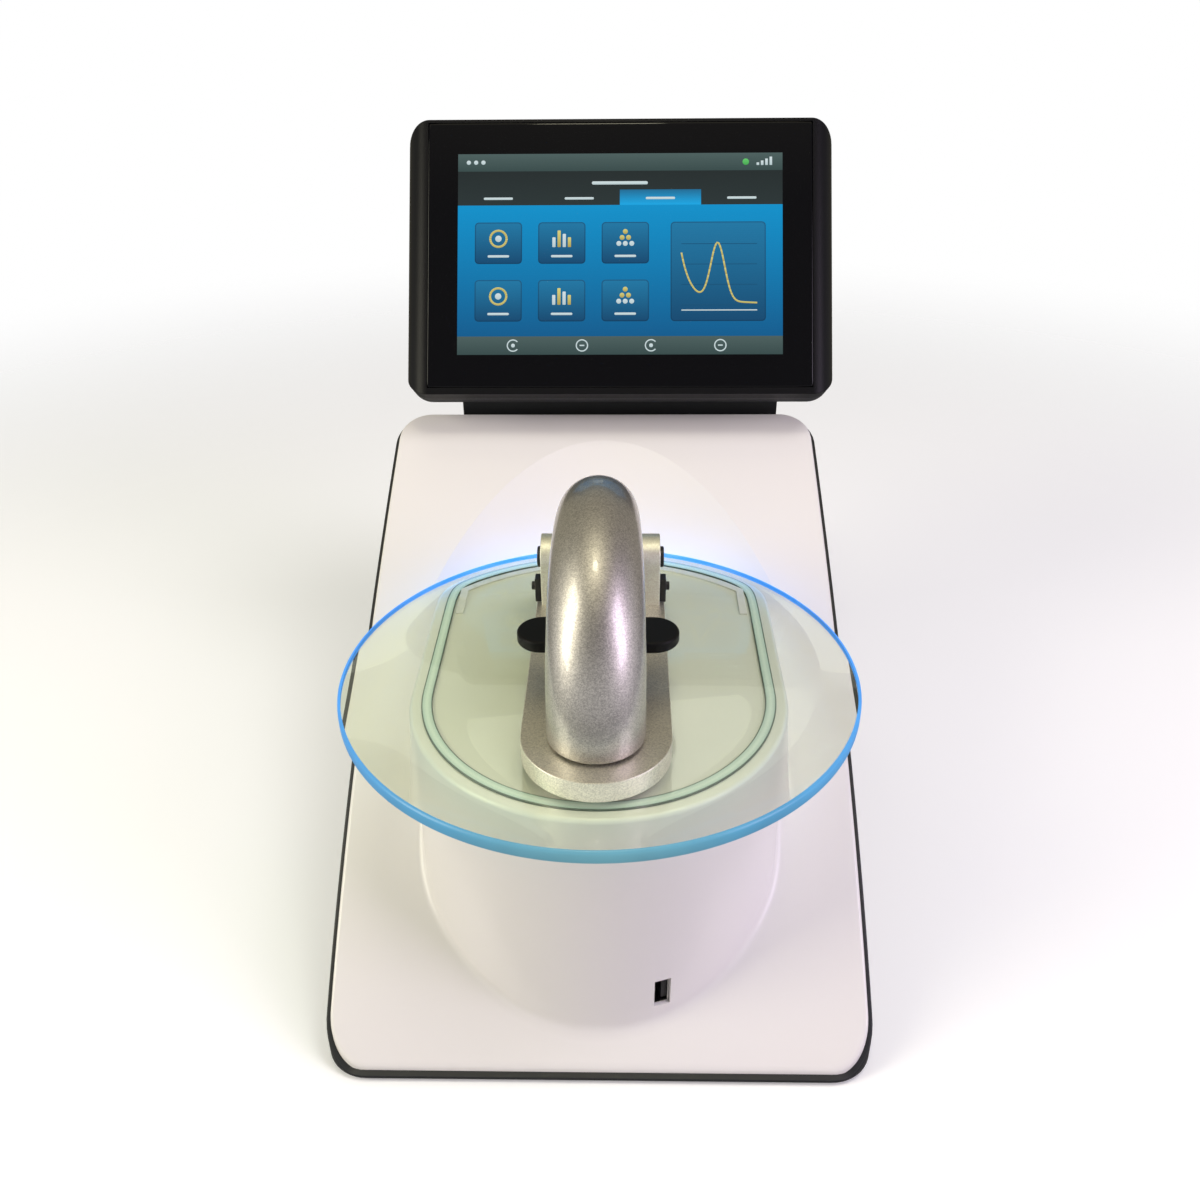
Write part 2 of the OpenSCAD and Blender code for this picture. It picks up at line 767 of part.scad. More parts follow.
// Light guide from the lower pedestal down to the optical bench
module detector_fibre() {
    bend_z = fibre_low_z + fibre_bend_r;
    color("#e08a2c") {
        translate([0, leg_y, bend_z]) cylinder(h = pedestal_low_z - bend_z, r = fibre_r);
        translate([0, leg_y + fibre_bend_r, bend_z]) rotate([0, 90, 0]) rotate([0, 0, -90])
            rotate_extrude(angle = 90) translate([fibre_bend_r, 0]) circle(fibre_r);
        translate([0, leg_y + fibre_bend_r, fibre_low_z]) rotate([-90, 0, 0])
            cylinder(h = bench_y - leg_y - fibre_bend_r, r = fibre_r);
    }
}

// Optical bench
module spectrometer_case() {
    color("#55585d") translate([-bench_w / 2, bench_y, floor_t]) difference() {
        cube([bench_w, bench_d, bench_h - bench_wall]);
        translate([bench_wall, bench_wall, bench_wall])
            cube([bench_w - 2 * bench_wall, bench_d - 2 * bench_wall, bench_h]);
        translate([bench_w / 2, -1, fibre_low_z - floor_t]) rotate([-90, 0, 0])
            cylinder(h = bench_wall + 2, r = 0.8);
    }
}

module spectrometer_grating() {
    color("#9fb4d8") translate([-grating_w / 2, bench_y + bench_d - bench_wall - 5, floor_t + bench_wall])
        cube([grating_w, 5, grating_w]);
}

module spectrometer_sensor() {
    color("#2b5a3a") translate([bench_w / 2 - bench_wall - 3, bench_y + bench_d / 4, floor_t + bench_wall])
        cube([3, bench_d / 2, bench_h / 2]);
}

module spectrometer_lid() {
    color("#55585d") translate([-bench_w / 2, bench_y, floor_t + bench_h - bench_wall])
        cube([bench_w, bench_d, bench_wall]);
}

module lamp_case() {
    color("#6a6d72") translate([lamp_x - lamp_w / 2, lamp_y - lamp_d / 2, floor_t]) difference() {
        cube([lamp_w, lamp_d, lamp_h]);
        translate([lamp_wall, lamp_wall, lamp_wall])
            cube([lamp_w - 2 * lamp_wall, lamp_d - 2 * lamp_wall, lamp_h - 2 * lamp_wall]);
        translate([lamp_w / 2, -1, lamp_h / 2]) rotate([-90, 0, 0]) cylinder(h = 6, r = 2);
    }
}

module flash_lamp() {
    color("#dfe6ea") translate([lamp_x, lamp_y, floor_t + lamp_wall]) {
        cylinder(h = bulb_r, r = socket_r);
        cylinder(h = 3 * bulb_r, r = bulb_r);
        translate([0, 0, 3 * bulb_r]) sphere(bulb_r, $fn = 48);
    }
}

module main_board() {
    color("#1f6b3c") translate([-board_w / 2, board_y, board_z]) cube([board_w, board_d, board_t]);
}

module board_standoffs() {
    color("silver") for (s = [-1, 1], y = [board_y + 6, board_rear_y - 6])
        translate([s * (board_w / 2 - 6), y, floor_t]) cylinder(h = board_z - floor_t, r = standoff_r);
}

// Front port
module socket_shell(w, h, depth, wall) {
    difference() {
        translate([-w / 2, 0, -h / 2]) cube([w, depth, h]);
        translate([-w / 2 + wall, -1, -h / 2 + wall]) cube([w - 2 * wall, depth - 1, h - 2 * wall]);
    }
}

module front_port_shell() {
    color("silver") in_port_frame() socket_shell(port_w, port_h, port_depth, port_wall);
}

module front_port_tongue() {
    color("#101010") in_port_frame()
        translate([port_w / 2 - port_wall - tongue_t, 1, -port_h / 2 + port_wall + tongue_gap])
            cube([tongue_t, port_depth - 3, port_h - 2 * port_wall - 2 * tongue_gap]);
}

module front_port_board() {
    color("#1f6b3c") in_port_frame() difference() {
        translate([port_w / 2, 3, -port_h / 2 - 2]) cube([board_t, port_depth + 4, port_h + 4]);
        translate([port_w / 2 - 1, 0, -port_h]) cube([board_t + 2, 3, 2 * port_h]);
    }
}

// Rear panel and connectors
module rear_panel() {
    color("#1b1c1e") difference() {
        translate([-rear_panel_w / 2, rear_y - base_wall, panel_z])
            cube([rear_panel_w, panel_plate_t, rear_panel_h]);
        for (x = usb_xs) rear_hole(x, usb_w + 0.4, usb_h + 0.4, port_floor_z - 0.2);
        rear_hole(jack_x, jack_w + 0.4, jack_h + 0.4, port_floor_z - 0.2);
        rear_hole(inlet_x, inlet_w + 0.4, inlet_h + 0.4, port_floor_z - 0.2);
        translate([button_x, rear_y + 1, button_z]) rotate([90, 0, 0])
            cylinder(h = base_wall + 2, r = button_r + button_gap);
    }
    color("#1b1c1e") translate([button_x, rear_y - base_wall, button_z]) rotate([90, 0, 0])
        button_guide();
}

module rear_hole(x, w, h, z) {
    translate([x - w / 2, rear_y - base_wall - 1, z]) cube([w, base_wall + 2, h]);
}

module button_guide() {
    guide_r = button_r + button_flange + 0.3;
    difference() {
        cylinder(h = guide_l + 1.5, r = guide_r + 1.5);
        translate([0, 0, -1]) cylinder(h = guide_l + 1, r = guide_r);
    }
}

module rear_usb_shells() {
    color("silver") for (x = usb_xs) translate([x, rear_y - 1, port_floor_z + usb_h / 2])
        mirror([0, 1, 0]) socket_shell(usb_w, usb_h, port_depth, port_wall);
}

module rear_usb_tongues() {
    color("#101010") for (x = usb_xs)
        translate([x - usb_w / 2 + port_wall + tongue_gap, rear_y - port_depth + 1,
            port_floor_z + usb_h - port_wall - tongue_t])
            cube([usb_w - 2 * port_wall - 2 * tongue_gap, port_depth - 3, tongue_t]);
}

module network_jack() {
    color("silver") translate([jack_x, rear_y - 1, port_floor_z + jack_h / 2]) mirror([0, 1, 0]) difference() {
        translate([-jack_w / 2, 0, -jack_h / 2]) cube([jack_w, jack_depth, jack_h]);
        translate([-jack_hole_w / 2, -1, -jack_h / 2 + 2.5]) cube([jack_hole_w, 14, jack_hole_h]);
    }
}

module power_inlet() {
    color("#121212") in_inlet_frame() difference() {
        translate([-inlet_w / 2, -inlet_h / 2, 0]) cube([inlet_w, inlet_h, inlet_depth + 3]);
        translate([0, 0, -1]) cylinder(h = inlet_depth + 1, r = inlet_r);
    }
}

module inlet_pin() {
    color("silver") in_inlet_frame() translate([0, 0, 1]) cylinder(h = inlet_depth - 1, r = inlet_pin_r);
}

module in_inlet_frame() {
    translate([inlet_x, rear_y - 1, port_floor_z + inlet_h / 2]) rotate([90, 0, 0]) children();
}

module power_button() {
    color("#2e3135") translate([button_x, rear_y + button_proud, button_z]) rotate([90, 0, 0]) {
        cylinder(h = button_proud + base_wall + 0.4, r = button_r);
        translate([0, 0, button_proud + base_wall + 0.4]) cylinder(h = button_flange, r = button_r + button_flange);
    }
}

module button_switch() {
    color("#202020") translate([button_x, rear_y - base_wall - guide_l, button_z]) rotate([-90, 0, 0])
        cylinder(h = guide_l - 0.4 - button_flange - button_travel - 0.3, r = button_r / 2);
}

// Arm: a tapered arch whose front leg stands over the lower pedestal
function arm_radius(phi) = leg_r + (arm_rear_r - leg_r) * pow(1 - phi / 180, arm_taper);
arch_step = 12;

module arch(shrink, from, facets) {
    hull() for (phi = [from:arch_step:180])
        translate([0, arch_y + arch_r * cos(phi), arch_z + arch_r * sin(phi)])
            sphere(arm_radius(phi) - shrink, $fn = facets);
}

module below_belly(z) {
    difference() {
        translate([-2 * leg_r, leg_y, arch_z - 2 * leg_r]) cube([4 * leg_r, 3 * arch_r, z - arch_z + 2 * leg_r]);
        translate([0, leg_y, arch_z - 3 * leg_r]) cylinder(h = 6 * leg_r, r = leg_r);
    }
    translate([-2 * leg_r, leg_y - 2 * leg_r, arch_z - 3 * leg_r]) cube([4 * leg_r, 4 * arch_r, 3 * leg_r]);
}

module arm_shell() {
    inner_r = leg_r - arm_wall;
    knuckle_r = hinge_r - 0.5;
    color("#a39c90") difference() {
        union() {
            difference() {
                arch(0, 0, skin_fn);
                below_belly(belly_z);
            }
            translate([0, leg_y, leg_z]) cylinder(h = arch_z - leg_z, r = leg_r);
            translate([-knuckle_w / 2, hinge_y, hinge_z]) rotate([0, 90, 0])
                cylinder(h = knuckle_w, r = knuckle_r);
        }
        intersection() {
            arch(arm_wall, 2 * arch_step, core_fn);
            translate([-leg_r, leg_y - leg_r, arch_z - eps])
                cube([2 * leg_r, belly_rear_y - 3 - leg_y + leg_r, 2 * arch_r]);
            difference() {
                translate([-leg_r, leg_y - leg_r, arch_z - eps]) cube([2 * leg_r, 3 * arch_r, 2 * arch_r]);
                difference() {
                    translate([-leg_r, leg_y, arch_z - 1]) cube([2 * leg_r, 3 * arch_r, belly_z - arch_z]);
                    translate([0, leg_y, 0]) cylinder(h = 3 * arch_z, r = inner_r);
                }
            }
        }
        translate([0, leg_y, leg_z - 1]) cylinder(h = arch_z - leg_z + 1, r = inner_r);
        translate([-leg_r, hinge_y, hinge_z]) rotate([0, 90, 0])
            cylinder(h = 2 * leg_r, r = hinge_pin_r + pin_clear);
    }
}

module arm_belly() {
    half_front = arm_radius(160) - 1.2;
    half_rear = arm_radius(25) - 0.8;
    color("#151515") translate([0, 0, belly_z - belly_t]) linear_extrude(belly_t) intersection() {
        polygon([[-half_front, belly_front_y], [half_front, belly_front_y],
            [half_rear, belly_rear_y], [-half_rear, belly_rear_y]]);
        translate([-leg_r, belly_front_y - 1]) square([2 * leg_r, belly_rear_y - belly_front_y + 2]);
    }
}

module finger_wings() {
    end_x = (wing_span - wing_d) / 2;
    color("#0e0e0e") translate([0, wing_y, belly_z - belly_t - wing_t]) linear_extrude(wing_t) {
        translate([-end_x, -wing_d / 2]) square([2 * end_x, wing_d]);
        for (s = [-1, 1]) translate([s * end_x, 0]) circle(wing_d / 2);
    }
}

module belly_screws() {
    color("silver") for (y = [belly_front_y + 8, belly_rear_y - 8])
        translate([0, y, belly_z - belly_t - 1]) cylinder(h = 1, r = 2.2);
}

module upper_bushing() {
    color("#161616") translate([0, leg_y, leg_z]) difference() {
        cylinder(h = arch_rise - arm_gap, r = leg_r - arm_wall);
        translate([0, 0, -1]) cylinder(h = arch_rise + 2, r = pedestal_r);
    }
}

module upper_pedestal() {
    color("silver") translate([0, leg_y, leg_z + sample_gap / 2]) cylinder(h = 20, r = pedestal_r);
}

// Slide rail and carriage of the display
module slide_rail() {
    color("#b9bcc0") difference() {
        translate([-rail_l / 2, 0, rail_z]) {
            translate([0, rear_y, -rail_foot_h / 2]) cube([rail_l, rail_t + eps, rail_foot_h]);
            translate([0, head_y, -rail_h / 2]) cube([rail_l, rail_t, rail_h]);
        }
        rail_screw_rods(rail_t + 1);
    }
}

module rail_screw_rods(length) {
    for (x = rail_screw_xs) translate([x, head_y, rail_z]) rotate([-90, 0, 0])
        cylinder(h = length, r = rail_screw_r);
}

module rail_screws() {
    color("silver") rail_screw_rods(rail_t - 0.4);
}

module carriage_side() {
    lip_y = rear_y + slide_clear + 0.2;
    top_z = rail_z + rail_h / 2 + slide_clear;
    low_z = rail_z - rail_h / 2 - slide_clear;
    out_y = carriage_y + carriage_t;
    foot_gap = rail_foot_h / 2 + slide_clear + 0.5;
    difference() {
        translate([lip_y, low_z - flange_t])
            square([out_y - lip_y, top_z - low_z + 2 * flange_t]);
        translate([head_y - slide_clear, low_z]) square([carriage_y - head_y + slide_clear, top_z - low_z]);
        translate([lip_y - 1, rail_z - foot_gap]) square([rail_t + 2, 2 * foot_gap]);
    }
    translate([carriage_y, top_z]) square([carriage_t, neck_z - top_z]);
}

module neck_side() {
    out_y = carriage_y + carriage_t;
    polygon([[carriage_y, neck_z - 8], [out_y, neck_z - 8],
        [tilt_y + tilt_r * cos(lean), tilt_z - tilt_r * sin(lean)],
        [tilt_y - tilt_r * cos(lean), tilt_z + tilt_r * sin(lean)], [carriage_y, neck_z]]);
    translate([tilt_y, tilt_z]) circle(tilt_r);
}

module display_carriage() {
    color("#141516") translate([slide_x, 0, 0]) difference() {
        union() {
            translate([-carriage_w / 2, 0, 0]) rotate([90, 0, 90]) linear_extrude(carriage_w) carriage_side();
            translate([-barrel_w / 2, 0, 0]) rotate([90, 0, 90]) linear_extrude(barrel_w) neck_side();
        }
        translate([-carriage_w, tilt_y, tilt_z]) rotate([0, 90, 0])
            cylinder(h = 2 * carriage_w, r = tilt_pin_r + pin_clear);
    }
}

module tilt_pin() {
    length = barrel_w + 2 * ear_gap + 2 * tilt_ear_w;
    color("silver") translate([slide_x - length / 2, tilt_y, tilt_z]) rotate([0, 90, 0])
        cylinder(h = length, r = tilt_pin_r);
}

// Display, built upright with its face at y = 0 and then leaned back about the tilt axis
module in_display_frame() {
    translate([slide_x, tilt_y, tilt_z]) rotate([-lean, 0, 0]) translate([0, -tilt_depth, tilt_low]) children();
}

module display_plan(inset) {
    half = display_w / 2 - inset;
    front = shoulder_r - inset;
    back = display_back_r - inset;
    intersection() {
        union() {
            translate([-half, shoulder_r]) square([2 * half, display_t - display_back_r - shoulder_r]);
            translate([-half + front, inset]) square([2 * (half - front), shoulder_r]);
            translate([-half + back, shoulder_r - 1])
                square([2 * (half - back), display_t - shoulder_r + 1 - inset]);
            for (s = [-1, 1]) {
                translate([s * (half - front), shoulder_r]) circle(front);
                translate([s * (half - back), display_t - display_back_r]) circle(back);
            }
        }
        translate([-display_w, inset]) square([2 * display_w, display_t - 2 * inset]);
    }
}

module display_body(inset) {
    intersection() {
        translate([0, 0, -display_h / 2]) linear_extrude(display_h) display_plan(inset);
        rotate([90, 0, 0]) translate([0, 0, -display_t]) linear_extrude(display_t)
            round_rect(display_w - 2 * inset, display_h - 2 * inset, display_r - inset);
    }
}

module display_slab(y0, y1) {
    translate([-display_w, y0, -display_h]) cube([2 * display_w, y1 - y0, 2 * display_h]);
}

module display_frame() {
    opening_w = recess_w - 8;
    opening_h = recess_h - 8;
    color("#0c0d0e") in_display_frame() difference() {
        intersection() {
            display_body(0);
            display_slab(-1, frame_t);
        }
        translate([-recess_w / 2 - screen_gap, -1, recess_up - recess_h / 2 - screen_gap])
            cube([recess_w + 2 * screen_gap, screen_glass_t + 1, recess_h + 2 * screen_gap]);
        translate([-opening_w / 2, -1, recess_up - opening_h / 2]) cube([opening_w, frame_t + 2, opening_h]);
    }
}

module display_back() {
    color("#141516") in_display_frame() difference() {
        display_body(0);
        intersection() {
            display_body(display_wall);
            display_slab(0, display_t - display_wall);
        }
        display_slab(-1, frame_t);
    }
}

module display_glass() {
    color("#0a0b0d") in_display_frame() translate([-recess_w / 2, 0, recess_up - recess_h / 2])
        cube([recess_w, screen_glass_t, recess_h]);
}

module picture_panel() {
    margin = 5;
    color("#2a78b8") in_display_frame()
        translate([-picture_w / 2 - margin, screen_glass_t, picture_up - picture_h / 2 - margin])
            cube([picture_w + 2 * margin, panel_t, picture_h + 2 * margin]);
}

module display_board() {
    color("#1f6b3c") in_display_frame() translate([-board_across / 2, screen_glass_t + panel_t, -board_h / 2])
            cube([board_across, board_t, board_h]);
}

module display_bracket() {
    color("#26282b") in_display_frame() difference() {
        union() {
            translate([-tilt_ear_x - tilt_ear_w, display_t, -tilt_low - bracket_h / 2])
                cube([2 * (tilt_ear_x + tilt_ear_w), bracket_t, bracket_h]);
            for (x = [-tilt_ear_x - tilt_ear_w, tilt_ear_x]) {
                translate([x, tilt_depth, -tilt_low]) rotate([0, 90, 0]) cylinder(h = tilt_ear_w, r = tilt_r);
                translate([x, display_t, -tilt_low - tilt_r])
                    cube([tilt_ear_w, tilt_depth - display_t, 2 * tilt_r]);
            }
        }
        translate([-barrel_w, tilt_depth, -tilt_low]) rotate([0, 90, 0])
            cylinder(h = 2 * barrel_w, r = tilt_pin_r);
    }
}

base_frame();
floor_plate();
rubber_feet();
floor_screws();
top_cover();
deck_posts();
deck_plate();
glass_gasket();
light_strip();
glass_table();
pedestal_plate();
plate_screws();
hinge_block();
hinge_pin();
pin_caps();
stop_clips();
lower_bushing();
lower_pedestal();
path_motor();
path_pin();
cuvette_holder();
stirrer_motor();
stirrer_magnet();
detector_fibre();
spectrometer_case();
spectrometer_grating();
spectrometer_sensor();
spectrometer_lid();
lamp_case();
flash_lamp();
main_board();
board_standoffs();
front_port_shell();
front_port_tongue();
front_port_board();
rear_panel();
rear_usb_shells();
rear_usb_tongues();
network_jack();
power_inlet();
inlet_pin();
power_button();
button_switch();
arm_shell();
arm_belly();
finger_wings();
upper_bushing();
upper_pedestal();
belly_screws();
slide_rail();
rail_screws();
display_carriage();
tilt_pin();
display_bracket();
display_back();
display_frame();
display_glass();
picture_panel();
display_board();
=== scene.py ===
import math

import bmesh
import bpy
import numpy as np
from mathutils import Matrix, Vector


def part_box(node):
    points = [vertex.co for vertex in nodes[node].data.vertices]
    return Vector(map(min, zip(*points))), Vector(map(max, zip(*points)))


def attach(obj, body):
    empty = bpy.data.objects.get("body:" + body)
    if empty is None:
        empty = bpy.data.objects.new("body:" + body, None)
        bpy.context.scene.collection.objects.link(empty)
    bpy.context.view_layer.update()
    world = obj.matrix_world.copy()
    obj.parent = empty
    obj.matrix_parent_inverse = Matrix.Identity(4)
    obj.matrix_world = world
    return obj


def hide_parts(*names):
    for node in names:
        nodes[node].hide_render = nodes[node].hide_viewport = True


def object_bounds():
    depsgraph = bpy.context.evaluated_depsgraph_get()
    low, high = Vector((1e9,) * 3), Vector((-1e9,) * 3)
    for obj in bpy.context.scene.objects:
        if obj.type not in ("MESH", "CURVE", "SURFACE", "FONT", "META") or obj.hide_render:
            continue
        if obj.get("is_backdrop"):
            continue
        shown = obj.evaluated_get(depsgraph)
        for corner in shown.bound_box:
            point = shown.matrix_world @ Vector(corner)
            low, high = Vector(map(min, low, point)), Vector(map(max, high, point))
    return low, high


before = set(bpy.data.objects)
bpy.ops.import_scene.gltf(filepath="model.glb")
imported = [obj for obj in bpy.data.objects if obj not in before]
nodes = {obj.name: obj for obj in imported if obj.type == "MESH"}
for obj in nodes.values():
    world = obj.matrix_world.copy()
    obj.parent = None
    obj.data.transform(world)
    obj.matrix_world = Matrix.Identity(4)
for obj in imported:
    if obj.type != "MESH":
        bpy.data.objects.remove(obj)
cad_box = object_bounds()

scene = bpy.context.scene
mm = 0.001

# Camera
# It stands in front of the instrument and looks down on it, slightly from the right,
# as the photograph does. The picture is 1200 pixels wide and high.
camera_place = (0.0082, -0.3810, 0.3545)
camera_pitch = math.radians(31.0)
camera_yaw = math.radians(1.30)
camera_roll = math.radians(0.55)
focal_pixels = 1108
picture_pixels = 1200
sensor_width = 36
nearest_seen = 0.01


def put(name, data):
    """A new object with this data, in the scene, unturned and at the origin."""
    made = bpy.data.objects.new(name, data)
    scene.collection.objects.link(made)
    return made


tilt_up = math.pi / 2 - camera_pitch
lens_turn = Matrix.Rotation(camera_yaw, 4, "Z") @ Matrix.Rotation(tilt_up, 4, "X")
camera_data = bpy.data.cameras.new("camera")
camera_data.sensor_width = sensor_width
camera_data.lens = focal_pixels / picture_pixels * sensor_width
camera_data.clip_start = nearest_seen
camera = put("camera", camera_data)
camera.matrix_world = Matrix.Translation(camera_place) @ lens_turn @ Matrix.Rotation(-camera_roll, 4, "Z")
scene.camera = camera
scene.view_settings.view_transform = 'Standard'


# Studio
# A pale floor under the feet that fades into a white room, and soft lamps round the bench: cream
# from the left, lilac from the right. Gloss mirrors a dim room with a warm rear wall and a bright patch
# overhead, so black gloss stays black.
floor_half = 1.6
floor_fade_start = 0.42
floor_fade_end = 1.1
floor_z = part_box("rubber_feet")[0].z
floor_lift = 0.20
soft_strength = 0.20
rear_wall = (0.26, 0.24, 0.17, 1)
rear_wall_start = 0.1
rear_wall_end = 0.6
sky_stops = ((0.0, (0.70, 0.70, 0.70)), (0.30, (0.45, 0.45, 0.44)), (0.50, (0.09, 0.09, 0.09)),
             (0.80, (0.10, 0.10, 0.09)), (0.97, (0.80, 0.74, 0.52)))


def node_maker(tree):
    """Empties a node tree and gives a function that adds one node to it. Inputs are set or linked by name,
    or by number after an underscore, and a node given as a value stands for its first output."""
    def node(kind, settings=None, **inputs):
        made = tree.nodes.new("ShaderNode" + kind)
        for key, value in (settings or {}).items():
            setattr(made, key, value)
        for key, value in inputs.items():
            socket = made.inputs[int(key[1:])] if key[1:].isdigit() else made.inputs[key.replace("_", " ")]
            if isinstance(value, bpy.types.Node):
                value = value.outputs[0]
            if isinstance(value, bpy.types.NodeSocket):
                tree.links.new(value, socket)
            else:
                socket.default_value = value
        return made

    tree.nodes.clear()
    return node


def material_of(name):
    """An empty node material, the maker of its nodes, and the object's own coordinates."""
    material = bpy.data.materials.new(name)
    material.use_nodes = True
    node = node_maker(material.node_tree)
    return material, node, node("TexCoord").outputs["Object"]


def surface(node, **values):
    """Closes a material with one principled shader that has these values."""
    node("OutputMaterial", Surface=node("BsdfPrincipled", **values))


def colour_ramp(node, place, stops):
    """A colour ramp read at a place from 0 to 1, with a position and a colour for each stop."""
    ramp = node("ValToRGB", Fac=place)
    while len(ramp.color_ramp.elements) < len(stops):
        ramp.color_ramp.elements.new(0.5)
    for element, (position, colour) in zip(ramp.color_ramp.elements, stops):
        element.position = position
        element.color = (*colour, 1)
    return ramp


floor_finish, node, place = material_of("studio_floor")
paper = node("BsdfDiffuse", Color=(0.86, 0.86, 0.86, 1))
lift = node("Emission", Color=(1, 1, 1, 1), Strength=floor_lift)
both = node("AddShader", _0=paper, _1=lift)
rays = node("LightPath")
seen = node("Math", {"operation": "MAXIMUM"}, _0=rays.outputs["Is Camera Ray"],
            _1=rays.outputs["Is Transmission Ray"])
# In gloss the floor shows dark grey, painted shade for the arm's lower leg to mirror
dim_paper = node("BsdfDiffuse", Color=(0.22, 0.22, 0.22, 1))
bounced = node("MixShader", _0=rays.outputs["Is Glossy Ray"], _1=paper, _2=dim_paper)
near = node("MixShader", _0=seen, _1=bounced, _2=both)
away = node("VectorMath", {"operation": "LENGTH"}, _0=place)
fade = node("MapRange", {"interpolation_type": "SMOOTHSTEP"}, _0=away.outputs["Value"],
            _1=floor_fade_start, _2=floor_fade_end)
far = node("BsdfTransparent", Color=(1, 1, 1, 1))
node("OutputMaterial", Surface=node("MixShader", _0=fade, _1=near, _2=far))

floor_mesh = bpy.data.meshes.new("studio_floor")
floor_corners = [(x * floor_half, y * floor_half, floor_z) for x, y in ((-1, -1), (1, -1), (1, 1), (-1, 1))]
floor_mesh.from_pydata(floor_corners, [], [(0, 1, 2, 3)])
floor_mesh.materials.append(floor_finish)
studio_floor = put("studio_floor", floor_mesh)
studio_floor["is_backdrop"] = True

room = bpy.data.worlds.new("room")
room.use_nodes = True
scene.world = room
node = node_maker(room.node_tree)
height = node("SeparateXYZ", Vector=node("TexCoord").outputs["Generated"])
sky = colour_ramp(node, height.outputs["Z"], sky_stops)
rear = node("MapRange", {"interpolation_type": "SMOOTHSTEP"}, _0=height.outputs["Y"], _1=rear_wall_start,
            _2=rear_wall_end)
mirrored = node("Background", Color=node("MixRGB", _0=rear, _1=sky, _2=rear_wall), Strength=1.0)
soft = node("Background", Color=(1, 1, 1, 1), Strength=soft_strength)
white = node("Background", Color=(1, 1, 1, 1), Strength=1.0)
rays = node("LightPath")
lit = node("MixShader", _0=rays.outputs["Is Glossy Ray"], _1=soft, _2=mirrored)
clear = node("Math", {"operation": "MAXIMUM"}, _0=rays.outputs["Is Camera Ray"],
             _1=rays.outputs["Is Transmission Ray"])
node("OutputWorld", Surface=node("MixShader", _0=clear, _1=lit, _2=white))

# For each lamp its place, its size, its power in watts, its tint, and whether gloss mirrors it
lamps = {
    "key_lamp": ((0.50, -0.15, 1.30), (0.50, 0.50), 5.8, (1.0, 0.98, 0.98), False),
    "left_lamp": ((-0.95, -0.38, 0.62), (0.45, 0.90), 8.4, (1.0, 0.96, 0.77), True),
    "right_lamp": ((0.95, -0.50, 0.62), (0.45, 0.80), 6.2, (0.91, 0.77, 1.0), True),
    "back_lamp": ((-0.15, 0.95, 1.10), (0.90, 0.35), 1.4, (1.0, 0.98, 0.95), False),
    "window_lamp": ((-0.02, -0.16, 1.10), (0.15, 0.12), 1.0, (1.0, 0.95, 0.70), True),
}
aim = np.array([0.0, 0.0, 0.08])
for name, (place, size, power, tint, mirrored_too) in lamps.items():
    lamp_data = bpy.data.lights.new(name, "AREA")
    lamp_data.shape = "RECTANGLE"
    lamp_data.size, lamp_data.size_y = size
    lamp_data.energy = power
    lamp_data.color = tint
    lamp = put(name, lamp_data)
    away = np.array(place) - aim
    away /= np.linalg.norm(away)
    side = np.cross((0, 0, 1), away)
    side /= np.linalg.norm(side)
    turn = Matrix(np.column_stack([side, np.cross(away, side), away]).tolist()).to_4x4()
    lamp.matrix_world = Matrix.Translation(place) @ turn
    lamp.visible_glossy = mirrored_too


# Base frame
# A black moulded tray with rounded corners whose walls follow the slope of the cover. Its top edge
# stands out as a thin dark rim, and its rear wall is open where the connector panel sits.
base_half = 100.0
base_reach = 128.0
base_corner = 16.0
base_wall = 2.5
nose = 18.0
rim_w = 1.8
cover_wall = 3.0
cover_front_z = 4.5
cover_rear_z = 155.5
cover_front_slope = math.radians(45)
cover_rear_slope = math.radians(23.3)
cover_end = base_reach - rim_w
panel_half = 65.0
panel_low = 5.0
panel_high = 39.0

front_rise = math.tan(cover_front_slope)
rear_rise = math.tan(cover_rear_slope)
knee_y = (cover_rear_z - cover_front_z - cover_end * (front_rise + rear_rise)) / (front_rise - rear_rise)
knee_z = cover_front_z + (knee_y + cover_end) * front_rise


def cover_height(y):
    """Height of the cover at y: a curve whose two end tangents meet at the knee, found by solving its
    quadratic in y for the curve's parameter, and carried on straight past both ends."""
    bend = -2 * knee_y
    pull = 2 * (knee_y + cover_end)
    inside = np.clip(y, -cover_end, cover_end)
    t = (np.sqrt(pull * pull + 4 * bend * (inside + cover_end)) - pull) / (2 * bend)
    z = (1 - t) ** 2 * cover_front_z + 2 * t * (1 - t) * knee_z + t * t * cover_rear_z
    return z + np.maximum(y - cover_end, 0) * rear_rise - np.maximum(-cover_end - y, 0) * front_rise


def reach(angle, half, front, rear, corner, centre_y):
    """Distance from (0, centre_y) to a rounded rectangle in each direction: the nearer straight side, or
    the corner's circle where the ray leaves through a corner. Angles turn from +Y towards +X."""
    sx, sy = np.sin(angle), np.cos(angle)
    to_side = half / np.maximum(np.abs(sx), 1e-9)
    to_end = np.where(sy > 0, rear - centre_y, centre_y - front) / np.maximum(np.abs(sy), 1e-9)
    flat = np.minimum(to_side, to_end)
    corner_x = (half - corner) * np.sign(sx)
    corner_y = np.where(sy > 0, rear - corner, front + corner) - centre_y
    along = sx * corner_x + sy * corner_y
    off = corner_x ** 2 + corner_y ** 2 - along ** 2
    curved = along + np.sqrt(np.maximum(corner ** 2 - off, 0))
    in_corner = (flat * np.abs(sx) > half - corner) & (flat * sy * np.sign(sy) > corner_y * np.sign(sy))
    return np.where(in_corner, curved, flat)


